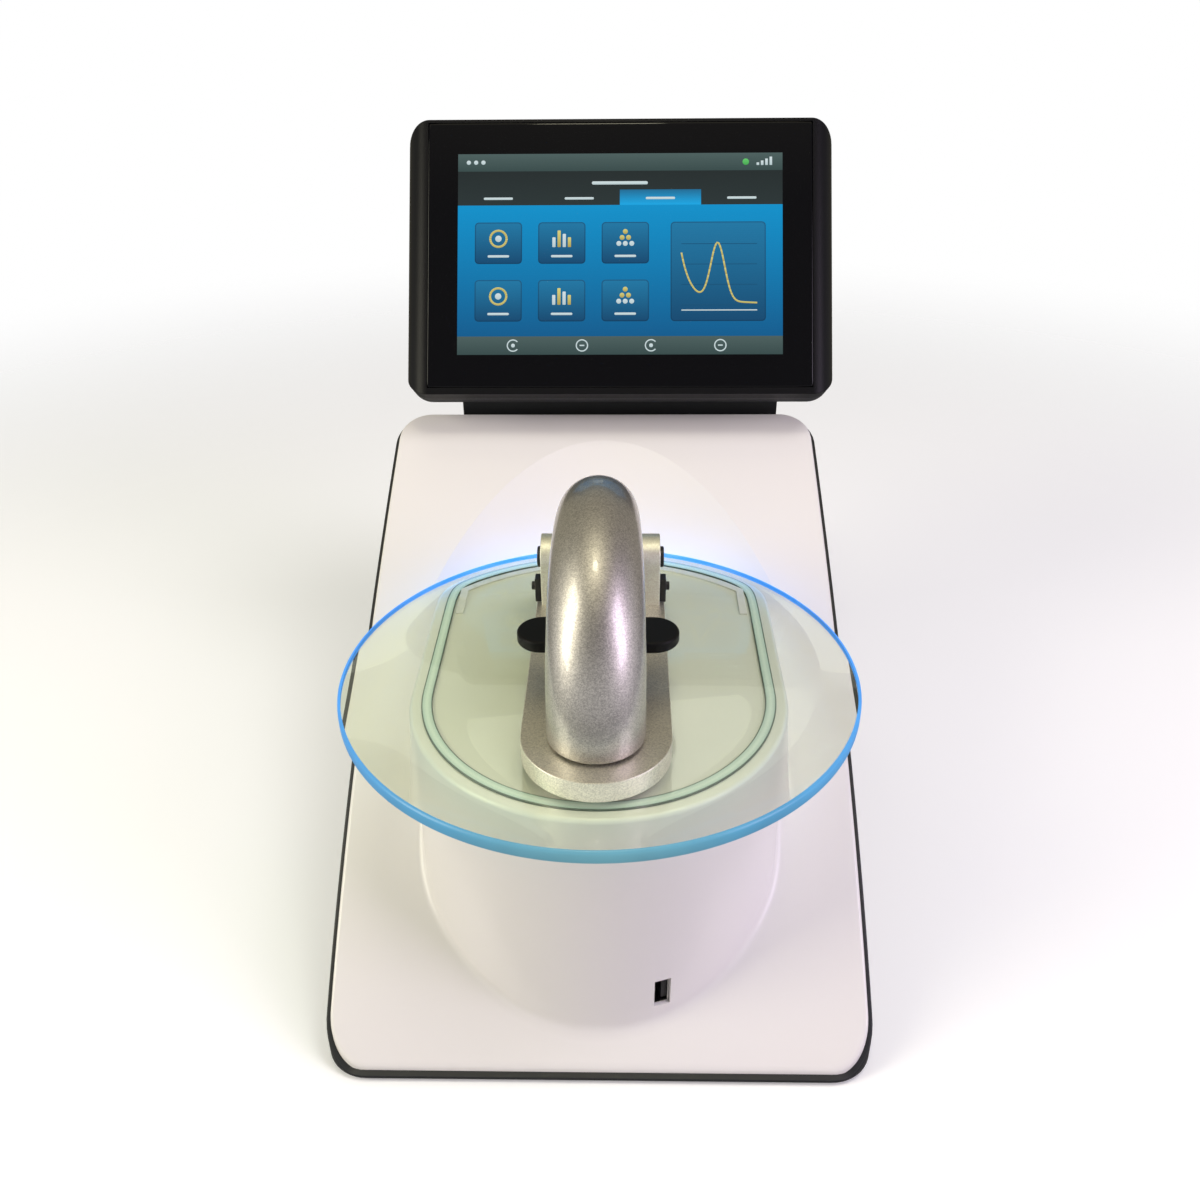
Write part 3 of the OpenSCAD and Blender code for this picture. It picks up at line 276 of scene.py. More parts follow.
def directions(count, outline, gap):
    """Angles round a closed outline, half by even turning and half by even length along it. No angle lies
    inside the gap, and the gap's two ends are in the list."""
    fine = np.linspace(0, 2 * np.pi, 20 * count + 1)
    r = outline(fine)
    length = np.concatenate([[0], np.cumsum(np.hypot(np.diff(r * np.sin(fine)), np.diff(r * np.cos(fine))))])
    share = np.arange(count) / count
    angle = 0.5 * 2 * np.pi * share + 0.5 * np.interp(share, length / length[-1], fine)
    angle = (angle - gap[1]) % (2 * np.pi)
    width = (gap[1] - gap[0]) % (2 * np.pi)
    step = 0.4 * np.pi / count
    angle = np.sort(angle[(angle > step) & (angle < 2 * np.pi - width - step)])
    return np.concatenate([[0], angle, [2 * np.pi - width]]) + gap[1]


def ring(angle, r, z, centre_y=0.0):
    """One row of points at distance r from (0, centre_y) in each direction, at height z."""
    return np.stack([r * np.sin(angle), centre_y + r * np.cos(angle), z + 0 * angle], -1)


merge_distance = 1e-7
skin_sharp_angle = math.radians(38)


def lay_surface(name, grid, close_rows=True, opening=None, rows_of_material=None, crease=None):
    """A mesh through a grid of points (rows, columns, xyz) in millimetres, one face per cell. Columns join
    up at their ends, and so do rows that close. An opening leaves out one cell of the outer and one of the
    inner skin and joins their edges with four faces. A crease, given as a mask of the grid's points,
    stays sharp between each two marked points."""
    rows, columns = grid.shape[:2]
    i, j = np.meshgrid(np.arange(rows - (not close_rows)), np.arange(columns), indexing="ij")
    at = lambda a, b: (a % rows) * columns + b % columns
    quads = np.stack([at(i, j), at(i, j + 1), at(i + 1, j + 1), at(i + 1, j)], -1).reshape(-1, 4)
    u, v = np.stack([j, j + 1, j + 1, j], -1) / columns, np.stack([i, i, i + 1, i + 1], -1) / rows
    uv = np.stack([u, v], -1).reshape(-1, 4, 2)
    row_of = i.reshape(-1)
    if opening:
        outer, inner, column = opening
        keep = ~(((row_of == outer) | (row_of == inner)) & (j.reshape(-1) == column))
        quads, uv, row_of = quads[keep], uv[keep], row_of[keep]
        a, b, c, d, e, f = outer, outer + 1, inner, inner + 1, column, column + 1
        sides = [[at(a, e), at(a, f), at(d, f), at(d, e)], [at(b, e), at(b, f), at(c, f), at(c, e)],
                 [at(a, e), at(b, e), at(c, e), at(d, e)], [at(a, f), at(b, f), at(c, f), at(d, f)]]
        quads = np.concatenate([quads, sides])
        uv = np.concatenate([uv, np.zeros((4, 4, 2))])
        row_of = np.concatenate([row_of, [outer] * 4])
    mesh = bpy.data.meshes.new(name)
    mesh.from_pydata((grid.reshape(-1, 3) * mm).tolist(), [], quads.tolist())
    layer = mesh.uv_layers.new(name="along")
    layer.data.foreach_set("uv", uv.reshape(-1))
    if rows_of_material:
        index = np.zeros(len(quads), int)
        for slot, (start, stop) in enumerate(rows_of_material):
            index[(row_of >= start) & (row_of < stop)] = slot
        mesh.polygons.foreach_set("material_index", index)
    if crease is not None:
        marks = mesh.attributes.new("crease_mark", "INT", "POINT")
        marks.data.foreach_set("value", crease.reshape(-1).astype(np.int32))
    shape = bmesh.new()
    shape.from_mesh(mesh)
    bmesh.ops.remove_doubles(shape, verts=shape.verts, dist=merge_distance)
    bmesh.ops.recalc_face_normals(shape, faces=shape.faces)
    shape.to_mesh(mesh)
    shape.free()
    mesh.shade_smooth()
    mesh.set_sharp_from_angle(angle=skin_sharp_angle)
    if crease is not None:
        marks = mesh.attributes["crease_mark"]
        marked = np.zeros(len(mesh.vertices), np.int32)
        marks.data.foreach_get("value", marked)
        ends = np.zeros(2 * len(mesh.edges), np.int32)
        mesh.edges.foreach_get("vertices", ends)
        sharp = np.zeros(len(mesh.edges), bool)
        mesh.edges.foreach_get("use_edge_sharp", sharp)
        mesh.edges.foreach_set("use_edge_sharp", sharp | marked[ends.reshape(-1, 2)].all(1))
        mesh.attributes.remove(marks)
    return put(name, mesh)


def arc(start, stop, count):
    """Sines and cosines of evenly spaced angles, in degrees, both ends included."""
    angle = np.radians(np.linspace(start, stop, count))
    return list(zip(np.sin(angle), np.cos(angle)))


def tray_top(angle, r):
    """Height of the tray's top face below the cover's skin, never lower than its front lip."""
    return np.maximum(cover_height(r * np.cos(angle)) - cover_wall, cover_front_z - cover_wall)


base_outline = lambda angle: reach(angle, base_half, -base_reach, base_reach, base_corner, 0)
panel_turn = math.atan2(panel_half, base_reach)
tray_columns = 440
angle = directions(tray_columns, base_outline, gap=(-panel_turn, panel_turn))
outer = base_outline(angle)
inner = reach(angle, base_half - base_wall, nose - base_reach, base_reach - base_wall,
              base_corner - base_wall, 0)
edge_r = 0.6
top = tray_top(angle, outer)
rear_top = cover_height(base_reach) - cover_wall
low_share, high_share = ((z - edge_r) / (rear_top - 2 * edge_r) for z in (panel_low, panel_high))
side_z = lambda share: edge_r + share * (top - 2 * edge_r)
rows = [ring(angle, inner, 0), ring(angle, outer - edge_r, 0), ring(angle, outer - 0.3 * edge_r, 0.3 * edge_r)]
side_shares = [0, low_share, high_share, 0.5, 0.75, 1]
panel_row = len(rows) + side_shares.index(low_share)
rows += [ring(angle, outer, side_z(share)) for share in side_shares]
rows += [ring(angle, outer - edge_r * (1 - c), tray_top(angle, outer - edge_r * (1 - c)) - edge_r * (1 - s))
         for s, c in arc(0, 90, 5)[1:]]
for share in (0.5, 1):
    r = (1 - share) * (outer - edge_r) + share * inner
    rows.append(ring(angle, r, tray_top(angle, r)))
inner_top = tray_top(angle, inner)
rows += [ring(angle, inner, z / rear_top * inner_top) for z in (panel_high, panel_low)]
tray = lay_surface("base_tray", np.stack(rows), opening=(panel_row, len(rows) - 2, len(angle) - 1))


def toned(colour, factor):
    """A colour made darker or lighter, no brighter than white, and opaque."""
    return (*(min(c * factor, 1) for c in colour), 1)


tone_drift = 0.06


def moulded(name, colour, roughness, grain, depth, shine_level=0.5):
    """Moulded plastic: a little drift in tone over centimetres, and a fine spark-eroded grain, its width
    and depth given in millimetres, that roughens the shine and lifts the surface."""
    material, node, place = material_of(name)
    tone = node("TexNoise", Vector=place, Scale=9.0, Detail=2.0)
    shade = node("MixRGB", _0=tone, _1=toned(colour, 1 - tone_drift), _2=toned(colour, 1 + tone_drift))
    grains = node("TexNoise", Vector=place, Scale=1 / (grain * mm), Detail=3.0, Roughness=0.6)
    shine = node("MapRange", _0=grains, _1=0.25, _2=0.75, _3=roughness * 0.8, _4=roughness * 1.2)
    lifted = node("Bump", Height=grains, Strength=0.35, Distance=depth * mm)
    surface(node, Base_Color=shade, Roughness=shine, Normal=lifted, IOR=1.5, Specular_IOR_Level=shine_level)
    return material


tray_black = moulded("tray_black", (0.016, 0.017, 0.019), 0.42, 0.45, 0.05)
tray.data.materials.append(tray_black)
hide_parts("base_frame")
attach(tray, "base")


# Top cover
# One white moulding: the sloping wedge, the column that rises from it under the glass, and the round
# hollow behind the column. Its edges are rolled over and it sits inside the tray's rim.
glass_y = -44.0
deck_z = 116.0
column_half = 68.0
column_front = -121.4
column_lean = 5.3
foot_radius = 76.0
column_rear = 93.0
lip_r = 1.6
foot_fillet = 3.0
cover_edge = 1.5
hollow_radius = 220.0
hollow_slope = math.radians(34)
hollow_top_y = cover_end - 16.7
hollow_fade = (16, 33)
crease_fade = (5, 25)
crease_steps = 240
crease_margin = 4
slot_half = 10.0
slot_front = -103.0
slot_rear = -40.0
slot_corner = 3.0
port_turn = math.radians(17.4)
port_middle_z = 30.4
port_half_w = 3.05
port_half_h = 6.75
port_inset = 1.6
cover_columns = 540
fillet_share = 0.3
edge_lap = 0.1
round_power = 1000
foot_power = 30
rear_power = 30
foot_round_y = column_front + column_lean + foot_radius


def softer_min(a, b, power):
    """The smaller of two distances, a little less where they are nearly equal, so that the corner between
    the two outlines is rounded: a power mean, with a lower power for a rounder corner."""
    small, large = np.minimum(a, b), np.maximum(a, b)
    return small * (1 + (small / large) ** power) ** (-1 / power)


def column_reach(angle, radius, front, half, rear, power):
    """Distance from the glass centre to the column's outline in each direction: the smallest of the front
    round, the flat sides and the rear round, with the meeting of sides and rear rounded over."""
    sx, sy = np.abs(np.sin(angle)), np.cos(angle)
    to_side = half / np.maximum(sx, 1e-9)
    middle = front + radius - glass_y
    along = sy * middle
    to_front = along + np.sqrt(np.maximum(radius ** 2 - middle ** 2 + along ** 2, 0))
    front_side = np.where(to_side * sy < middle, softer_min(to_side, to_front, power), to_side)
    return softer_min(front_side, rear, rear_power)


def hollow_height(x, y):
    """Height of the leaning round trough behind the column: its bottom line rises at the trough's slope
    and its sides curve up as a circle does."""
    dip = hollow_radius - np.sqrt(hollow_radius ** 2 - np.clip(x, -hollow_radius, hollow_radius) ** 2)
    rise = (y - hollow_top_y) * math.tan(hollow_slope)
    return cover_height(hollow_top_y) + rise + dip / math.cos(hollow_slope)


def smooth_share(value, start, stop):
    """0 before start, 1 after stop, and a smooth step between them."""
    t = np.clip((value - start) / (stop - start), 0, 1)
    return t * t * (3 - 2 * t)


def skin_height(angle, r):
    """Height of the cover's skin: the wedge, less the hollow's depth where it fades in behind."""
    x, y = r * np.sin(angle), glass_y + r * np.cos(angle)
    depth = np.maximum(cover_height(y) - hollow_height(x, y), 0)
    return cover_height(y) - depth * smooth_share(y, *hollow_fade)


cover_outline = lambda angle: reach(angle, base_half - rim_w, -cover_end, cover_end, base_corner - rim_w,
                                    glass_y)
slot_outline = lambda angle: reach(angle, slot_half, slot_front, slot_rear, slot_corner, glass_y)
port_face = foot_radius + column_lean * port_middle_z / deck_z - port_inset
port_x = port_face * math.sin(port_turn)
port_y = foot_round_y - port_face * math.cos(port_turn)
port_sides = [math.pi - math.atan2(port_x + s * port_half_w * math.cos(port_turn),
                                   glass_y - port_y - s * port_half_w * math.sin(port_turn)) for s in (1, -1)]
angle = directions(cover_columns, cover_outline, gap=tuple(port_sides))
top_r = column_reach(angle, column_half, column_front, column_half, column_rear, round_power)
low_r = column_reach(angle, foot_radius, column_front + column_lean, column_half, column_rear, foot_power)
wall_r = lambda z: low_r + (top_r - low_r) * z / deck_z
foot_z = skin_height(angle, top_r)
foot_z = skin_height(angle, wall_r(foot_z))
fillet = np.minimum(foot_fillet, fillet_share * (deck_z - foot_z))
ledge_r = wall_r(foot_z) + fillet
outer_r = cover_outline(angle)
slot_r = slot_outline(angle)

# The crease where the hollow meets the wedge: the first place outwards where the trough is higher
spread = ledge_r + (outer_r - crease_margin - ledge_r) * np.linspace(0, 1, crease_steps)[:, None]
xs, ys = spread * np.sin(angle), glass_y + spread * np.cos(angle)
above = hollow_height(xs, ys) - cover_height(ys)
crossing = np.argmax(above > 0, 0)
after = np.clip(crossing, 1, None)
cols = np.arange(len(angle))
lift_in, lift_out = above[after - 1, cols], above[after, cols]
part = np.clip(-lift_in / np.where(lift_out == lift_in, 1, lift_out - lift_in), 0, 1)
crease_r = spread[after - 1, cols] + part * (spread[after, cols] - spread[after - 1, cols])
crease_y = glass_y + crease_r * np.cos(angle)
found = (crossing > 0) * smooth_share(crease_y, *crease_fade)
crease_r = found * crease_r + (1 - found) * (0.5 * ledge_r + 0.5 * outer_r)

rows = [ring(angle, (1 - t) * slot_r + t * (top_r - lip_r), deck_z, glass_y) for t in (0, 0.35, 0.7, 1)]
rows += [ring(angle, top_r - lip_r * (1 - s), deck_z - lip_r * (1 - c), glass_y)
         for s, c in arc(0, 90, 7)[1:]]
wall_top = deck_z - lip_r
wall_low = foot_z + fillet
port_column = len(angle) - 1
port_high, port_low = port_middle_z + port_half_h, port_middle_z - port_half_h
share_high, share_low = ((wall_top - z) / (wall_top - wall_low[port_column]) for z in (port_high, port_low))
wall_shares = [*np.linspace(0, share_high, 9)[1:], share_low, 0.5 * (1 + share_low), 1]
port_row = len(rows) + wall_shares.index(share_high)
port_edges = {share_high: port_high, share_low: port_low}
for share in wall_shares:
    z = wall_top + (wall_low - wall_top) * share
    if share in port_edges:
        z[[0, port_column]] = port_edges[share]
    rows.append(ring(angle, wall_r(z), z, glass_y))
foot_r = wall_r(foot_z)
for t in np.linspace(0, 1, 7)[1:]:
    a, b, c = (1 - t) ** 2, 2 * t * (1 - t), t * t
    z = a * wall_low + b * skin_height(angle, foot_r) + c * skin_height(angle, ledge_r)
    rows.append(ring(angle, a * wall_r(wall_low) + b * foot_r + c * ledge_r, z, glass_y))
skin_ring = lambda r, drop=0: ring(angle, r, skin_height(angle, r) - drop, glass_y)
rows += [skin_ring(ledge_r + t * (crease_r - ledge_r)) for t in np.linspace(0, 1, 15)[1:]]
crease_row = len(rows) - 1
rows += [skin_ring(crease_r + t * (outer_r - cover_edge - crease_r)) for t in np.linspace(0, 1, 13)[1:]]
rows += [skin_ring(outer_r - cover_edge * (1 - s), cover_edge * (1 - c)) for s, c in arc(0, 90, 7)[1:]]
rows += [skin_ring(outer_r, cover_wall - edge_lap)]
rows += [skin_ring(r, cover_wall) for r in (outer_r - cover_wall, crease_r, foot_r - cover_wall)]
inner_low = foot_z - cover_wall
inner_top = deck_z - cover_wall
for share in (share_low, share_high, 0):
    z = inner_top + (inner_low - inner_top) * share
    if share in port_edges:
        z[[0, port_column]] = port_edges[share]
    rows.append(ring(angle, wall_r(z) - cover_wall, z, glass_y))
rows.append(ring(angle, slot_r, inner_top, glass_y))
crease = np.zeros((len(rows), len(angle)), bool)
crease[crease_row] = found > 0.5
port_opening = (port_row, len(rows) - 4, port_column)
cover = lay_surface("cover_moulding", np.stack(rows), opening=port_opening, crease=crease)

# Satin white moulding under a thin clear skin. Cream and lilac drift softly over the surface, a painted tint
# for the cream and lilac room light that the white reflects, with a very fine orange-peel ripple in the shine.
cover_white, node, place = material_of("cover_white")
drift = node("TexNoise", Vector=place, Scale=5.0, Detail=1.0)
cream, lilac = (0.83, 0.805, 0.745, 1), (0.80, 0.765, 0.80, 1)
shade = node("MixRGB", _0=drift, _1=cream, _2=lilac)
peel = node("TexNoise", Vector=place, Scale=900.0, Detail=2.0)
ripple = node("Bump", Height=peel, Strength=0.03, Distance=0.02 * mm)
shine = node("MapRange", _0=peel, _1=0.3, _2=0.7, _3=0.30, _4=0.38)
surface(node, Base_Color=shade, Roughness=shine, Normal=ripple, Coat_Weight=0.35, Coat_Roughness=0.14,
        IOR=1.48)

cover.data.materials.append(cover_white)
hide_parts("top_cover")
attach(cover, "base")


# Gasket
# A pale silicone bead that runs round the deck just inside its edge and carries the glass. Both its edges show
# as thin dark lines of painted shade through the glass, and its crest carries a painted highlight.
gasket_half = 63.8
gasket_width = 4.0
gasket_low = deck_z
gasket_high = 116.8
gasket_rear = column_rear - (column_half - gasket_half) + 2
bead_turns = np.radians(np.arange(0, 360, 15))
bead_power_across = 0.35
bead_power_up = 0.5


def full_turn(count):
    """Evenly spaced angles round one turn."""
    return np.linspace(0, 2 * np.pi, count, endpoint=False)


def squared(value, power):
    """The size of a value raised to a power, with the value's sign."""
    return np.sign(value) * np.abs(value) ** power


angle = full_turn(360)
gasket_front = column_front + column_half - gasket_half
bead_side = lambda inset: column_reach(angle, gasket_half - inset, gasket_front + inset, gasket_half - inset,
                                       gasket_rear - inset, round_power)
bead_out, bead_in = bead_side(0), bead_side(gasket_width)
bead_h = gasket_high - gasket_low
rows = []
for turn in bead_turns:
    across = 0.5 + 0.5 * squared(np.cos(turn), bead_power_across)
    up = 0.5 + 0.5 * squared(np.sin(turn), bead_power_up)
    rows.append(ring(angle, bead_in + across * (bead_out - bead_in), gasket_low + up * bead_h, glass_y))
gasket = lay_surface("glass_gasket_bead", np.stack(rows))

# Pale silicone with painted shade at both edges of the bead and a painted highlight along its crest, read from
# how far a point is round it.
gasket_pale, node, place = material_of("gasket_pale")
spot = node("SeparateXYZ", Vector=node("TexCoord").outputs["UV"])
# dark is painted shade for the bead's edges, bright a painted highlight on its crest
dark, pale, bright = (0.09, 0.12, 0.11), (0.50, 0.64, 0.63), (0.80, 0.90, 0.89)
stops = ((0.0, dark), (0.15, dark), (0.18, pale), (0.25, bright), (0.32, pale), (0.35, dark), (0.5, dark))
band = colour_ramp(node, spot.outputs["Y"], stops)
dust = node("TexNoise", Vector=place, Scale=1500.0, Detail=2.0)
lifted = node("Bump", Height=dust, Strength=0.2, Distance=0.03 * mm)
surface(node, Base_Color=band, Roughness=0.35, Normal=lifted, IOR=1.43)

gasket.data.materials.append(gasket_pale)
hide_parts("glass_gasket")
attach(gasket, "base")


# Glass table
# A clear round glass with a slot under the arm's plate. Its ground edge is lit from below through the
# glass: bright blue at the back, softer at the sides and more teal at the front.
glass_radius = 95.0
glass_low = 116.8
glass_high = 121.8
glass_edge = 1.2

slot_r = slot_outline(angle)
flat_ring = lambda t, z: ring(angle, (1 - t) * slot_r + t * (glass_radius - glass_edge), z, glass_y)
rows = [flat_ring(t, glass_high) for t in (0, 0.5, 1)]
rim_start = len(rows) - 1
bends = (glass_high - glass_edge, arc(0, 90, 7)[1:]), (glass_low + glass_edge, arc(90, 180, 7))
rows += [ring(angle, glass_radius - glass_edge * (1 - s), z + glass_edge * c, glass_y)
         for z, bend in bends for s, c in bend]
rim_stop = len(rows) - 1
rows += [flat_ring(t, glass_low) for t in (0.5, 0)]
glass = lay_surface("glass_disc", np.stack(rows), rows_of_material=[(0, len(rows)), (rim_start, rim_stop)])

# Clear float glass with a faint green tint. Soft light and shadows pass straight through it.
clear_glass, node, place = material_of("clear_glass")
smear = node("TexNoise", Vector=place, Scale=25.0, Detail=2.0)
haze = node("MapRange", _0=smear, _1=0.4, _2=0.8, _3=0.0, _4=0.03)
pane = node("BsdfPrincipled", Base_Color=(0.88, 0.92, 0.80, 1), Roughness=haze,
            Transmission_Weight=1.0, IOR=1.46)
through = node("BsdfTransparent", Color=(0.92, 0.95, 0.88, 1))
rays = node("LightPath")
passing = node("Math", {"operation": "MAXIMUM"}, _0=rays.outputs["Is Shadow Ray"],
               _1=rays.outputs["Is Diffuse Ray"])
node("OutputMaterial", Surface=node("MixShader", _0=passing, _1=pane, _2=through))

# The ground edge of the glass, glowing: the colour goes from teal at the front to bright blue at the back,
# with a slight unevenness along it.
glass_edge_light, node, place = material_of("glass_edge_light")
back = node("MapRange", _0=node("SeparateXYZ", Vector=place).outputs["Y"],
            _1=(glass_y - glass_radius) * mm, _2=(glass_y + glass_radius) * mm)
stops = ((0.0, (0.10, 0.27, 0.31)), (0.06, (0.06, 0.25, 0.40)), (0.45, (0.04, 0.25, 0.72)),
         (0.8, (0.04, 0.26, 0.88)), (1.0, (0.05, 0.30, 1.0)))
hue = colour_ramp(node, back, stops)
wave = node("TexNoise", Vector=place, Scale=40.0, Detail=2.0)
uneven = node("MapRange", _0=wave, _1=0.3, _2=0.7, _3=0.85, _4=1.05)
rise = node("MapRange", _0=back, _1=0.7, _2=1.0, _3=1.0, _4=1.7)
level = node("SeparateXYZ", Vector=place).outputs["Z"]
upper = node("MapRange", _0=level, _1=glass_low * mm, _2=glass_high * mm, _3=0.8, _4=1.25)
bands = node("Math", {"operation": "MULTIPLY"}, _0=uneven, _1=upper)
power = node("Math", {"operation": "MULTIPLY"}, _0=bands, _1=rise)
spill = node("MapRange", _0=node("LightPath").outputs["Is Diffuse Ray"], _3=1.0, _4=3.0)
spread = node("Math", {"operation": "MULTIPLY"}, _0=power, _1=spill)
glow = node("Emission", Color=hue, Strength=spread)
ground = node("BsdfPrincipled", Base_Color=(0.04, 0.10, 0.16, 1), Roughness=0.3, IOR=1.46)
both = node("AddShader", _0=glow, _1=ground)
through = node("BsdfTransparent", Color=(0.8, 0.9, 1.0, 1))
shadow = node("LightPath").outputs["Is Shadow Ray"]
node("OutputMaterial", Surface=node("MixShader", _0=shadow, _1=both, _2=through))

glass.data.materials.append(clear_glass)
glass.data.materials.append(glass_edge_light)
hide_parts("glass_table")
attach(glass, "base")


# Pedestal plate, hinge block and the parts turned or cut from bar
# A blasted and anodised plate and hinge block, screwed down through the glass, with a steel pin, black
# caps, clips and bushing, and the polished steel pedestal and pin under the drop. Every edge is broken.
loose_distance = 2e-6
flat_angle = math.radians(0.8)
smooth_angle = math.radians(30)
broken_angle = math.radians(35)


def soften(name, edge, finish, body="base", segments=2):
    """A merged copy of a CAD solid: loose triangles joined, flat faces made one, and every edge sharper
    than 35 degrees rounded over."""
    source = nodes[name].data
    points = np.empty(len(source.vertices) * 3)
    source.vertices.foreach_get("co", points)
    shape = bmesh.new()
    copy = bpy.data.meshes.new(name + "_skin")
    copy.from_pydata(points.reshape(-1, 3).tolist(), [], [tuple(face.vertices) for face in source.polygons])
    shape.from_mesh(copy)
    bmesh.ops.remove_doubles(shape, verts=shape.verts, dist=loose_distance)
    bmesh.ops.dissolve_limit(shape, angle_limit=flat_angle, verts=shape.verts, edges=shape.edges)
    shape.to_mesh(copy)
    shape.free()
    copy.shade_smooth()
    copy.set_sharp_from_angle(angle=smooth_angle)
    piece = put(name + "_skin", copy)
    round_over = piece.modifiers.new("broken edges", "BEVEL")
    round_over.width = edge * mm
    round_over.segments = segments
    round_over.limit_method = "ANGLE"
    round_over.angle_limit = broken_angle
    round_over.harden_normals = True
    copy.materials.append(finish)
    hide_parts(name)
    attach(piece, body)


def blasted_metal(name, colour, roughness, sparkle):
    """Bead-blasted and anodised metal: dimples a few tenths of a millimetre wide that scatter the shine,
    with brighter and darker specks among them."""
    material, node, place = material_of(name)
    dimples = node("TexNoise", Vector=place, Scale=3200.0, Detail=2.0, Roughness=0.7)
    specks = node("TexVoronoi", Vector=place, Scale=2600.0)
    speck = node("SeparateColor", Color=specks.outputs["Color"])
    shade = node("MixRGB", _0=speck, _1=toned(colour, 1 - sparkle), _2=toned(colour, 1 + sparkle))
    shine = node("MapRange", _0=dimples, _1=0.3, _2=0.7, _3=roughness * 0.75, _4=roughness * 1.25)
    lifted = node("Bump", Height=dimples, Strength=0.5, Distance=0.03 * mm)
    surface(node, Base_Color=shade, Metallic=0.95, Roughness=shine, Normal=lifted)
    return material


def turned_metal(name, colour, roughness, along):
    """Bright drawn or turned metal: fine lines stretched along one axis, in the tone and in the shine."""
    material, node, place = material_of(name)
    stretch = node("Mapping", Vector=place, Scale=tuple(120.0 if axis == along else 4000.0 for axis in "XYZ"))
    lines = node("TexNoise", Vector=stretch, Scale=1.0, Detail=3.0)
    shade = node("MixRGB", _0=lines, _1=toned(colour, 0.85), _2=toned(colour, 1.12))
    shine = node("MapRange", _0=lines, _1=0.3, _2=0.7, _3=roughness * 0.7, _4=roughness * 1.3)
    surface(node, Base_Color=shade, Metallic=1.0, Roughness=shine)
    return material


plate_silver = blasted_metal("plate_silver", (0.80, 0.77, 0.68), 0.46, 0.16)
block_silver = blasted_metal("block_silver", (0.96, 0.93, 0.80), 0.50, 0.10)
pin_steel = turned_metal("pin_steel", (0.62, 0.62, 0.61), 0.22, "X")
pedestal_steel = turned_metal("pedestal_steel", (0.72, 0.72, 0.71), 0.12, "Z")
trim_black = moulded("trim_black", (0.012, 0.012, 0.013), 0.34, 0.30, 0.02)
soften("pedestal_plate", 1.0, plate_silver, segments=3)
soften("hinge_block", 1.2, block_silver, segments=3)
soften("hinge_pin", 0.3, pin_steel)
soften("pin_caps", 0.5, trim_black, segments=3)
soften("stop_clips", 0.4, trim_black, segments=3)
soften("lower_bushing", 0.2, trim_black)
soften("lower_pedestal", 0.25, pedestal_steel)
soften("path_pin", 0.25, pedestal_steel, "path_pin")
soften("cuvette_holder", 0.3, trim_black)


# Arm
# A hollow casting in pewter lacquer: a round front leg that bends over in an arch, grows slimmer
# towards the hinge, and is flat underneath behind the leg.
leg_y = -93.0
leg_radius = 16.3
rear_radius = 9.5
arch_y = -46.0
arch_z = 134.5
arch_radius = 47.0
arm_low = 130.5
arm_belly_z = 148.5
leg_bore = 13.9
leg_floor = 3
leg_edge = 0.8
taper = 2.2
box_share = 0.72
box_fade = (0.02, 0.5)
narrow_share = 0.10
narrow_fade = (0.1, 0.9)
arm_turns = 110
around_count = 128


def arm_radius(turn):
    """Radius of the arm at each turn of the arch, from the rear end's at 0 to the leg's at half a turn."""
    return leg_radius + (rear_radius - leg_radius) * (1 - turn / np.pi) ** taper


def arm_section(turn):
    """Points round the arm at one turn of the arch. The outer half is a half circle. The inner half is a
    rounded box down to the flat belly, and grows into the leg's circle towards the front."""
    sx, out = np.sin(around), np.cos(around)
    radius = arm_radius(turn)
    belly = (arm_belly_z - arch_z) / max(math.sin(turn), 1e-6)
    back_of_leg = (arch_radius - leg_radius) / max(-math.cos(turn), 1e-6)
    deep = max(arch_radius - min(belly, back_of_leg), 0)
    boxy = 1 - box_share * float(smooth_share(math.pi - turn, *box_fade))
    wide = squared(sx, np.where(out < 0, boxy, 1))
    down = np.where(out < 0, deep * np.abs(out) ** boxy, 0)
    narrowing = narrow_share * float(smooth_share(math.pi - turn, *narrow_fade))
    narrow = 1 - narrowing * np.where(out < 0, np.abs(out), 0)
    x = radius * wide * narrow
    rho = arch_radius + np.where(out < 0, -down, radius * out)
    y, z = arch_y + rho * math.cos(turn), arch_z + rho * math.sin(turn)
    behind = y > leg_y + leg_radius
    return np.stack([x, y, np.where(behind, np.maximum(z, arm_belly_z), z)], -1)


around = full_turn(around_count)
end_turn = math.asin((arm_belly_z - arch_z) / (arch_radius + rear_radius + 0.3))
rows = [arm_section(turn) for turn in np.linspace(end_turn, math.pi, arm_turns)]
rows.insert(0, np.repeat(rows[0].mean(0, keepdims=True), around_count, 0))
leg_ring = lambda r, z: np.stack([r * np.sin(around), leg_y - r * np.cos(around), z + 0 * around], -1)
rows += [leg_ring(leg_radius - leg_edge * (1 - c), arm_low + leg_edge * (1 - s)) for s, c in arc(0, 90, 5)]
rows += [leg_ring(leg_bore, arm_low), leg_ring(leg_bore, arm_low + leg_floor),
         leg_ring(0, arm_low + leg_floor)]
arm = lay_surface("arm_casting", np.stack(rows), close_rows=False)

# Pewter lacquer: metal flakes under a clear gloss coat. Small cells differ in tone and in slope, so the
# shine breaks up into grains round each highlight.
arm_pewter, node, place = material_of("arm_pewter")
flakes = node("TexVoronoi", Vector=place, Scale=3000.0)
flake = node("SeparateColor", Color=flakes.outputs["Color"])
shade = colour_ramp(node, flake, ((0.0, (0.38, 0.355, 0.335)), (1.0, (0.64, 0.61, 0.57))))
slope = node("Bump", Height=flake.outputs[1], Strength=0.05, Distance=0.03 * mm)
surface(node, Base_Color=shade, Metallic=0.9, Roughness=0.42, Normal=slope, Coat_Weight=0.7,
        Coat_Roughness=0.04, Coat_IOR=1.5)

arm.data.materials.append(arm_pewter)
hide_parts("arm_shell")
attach(arm, "arm")

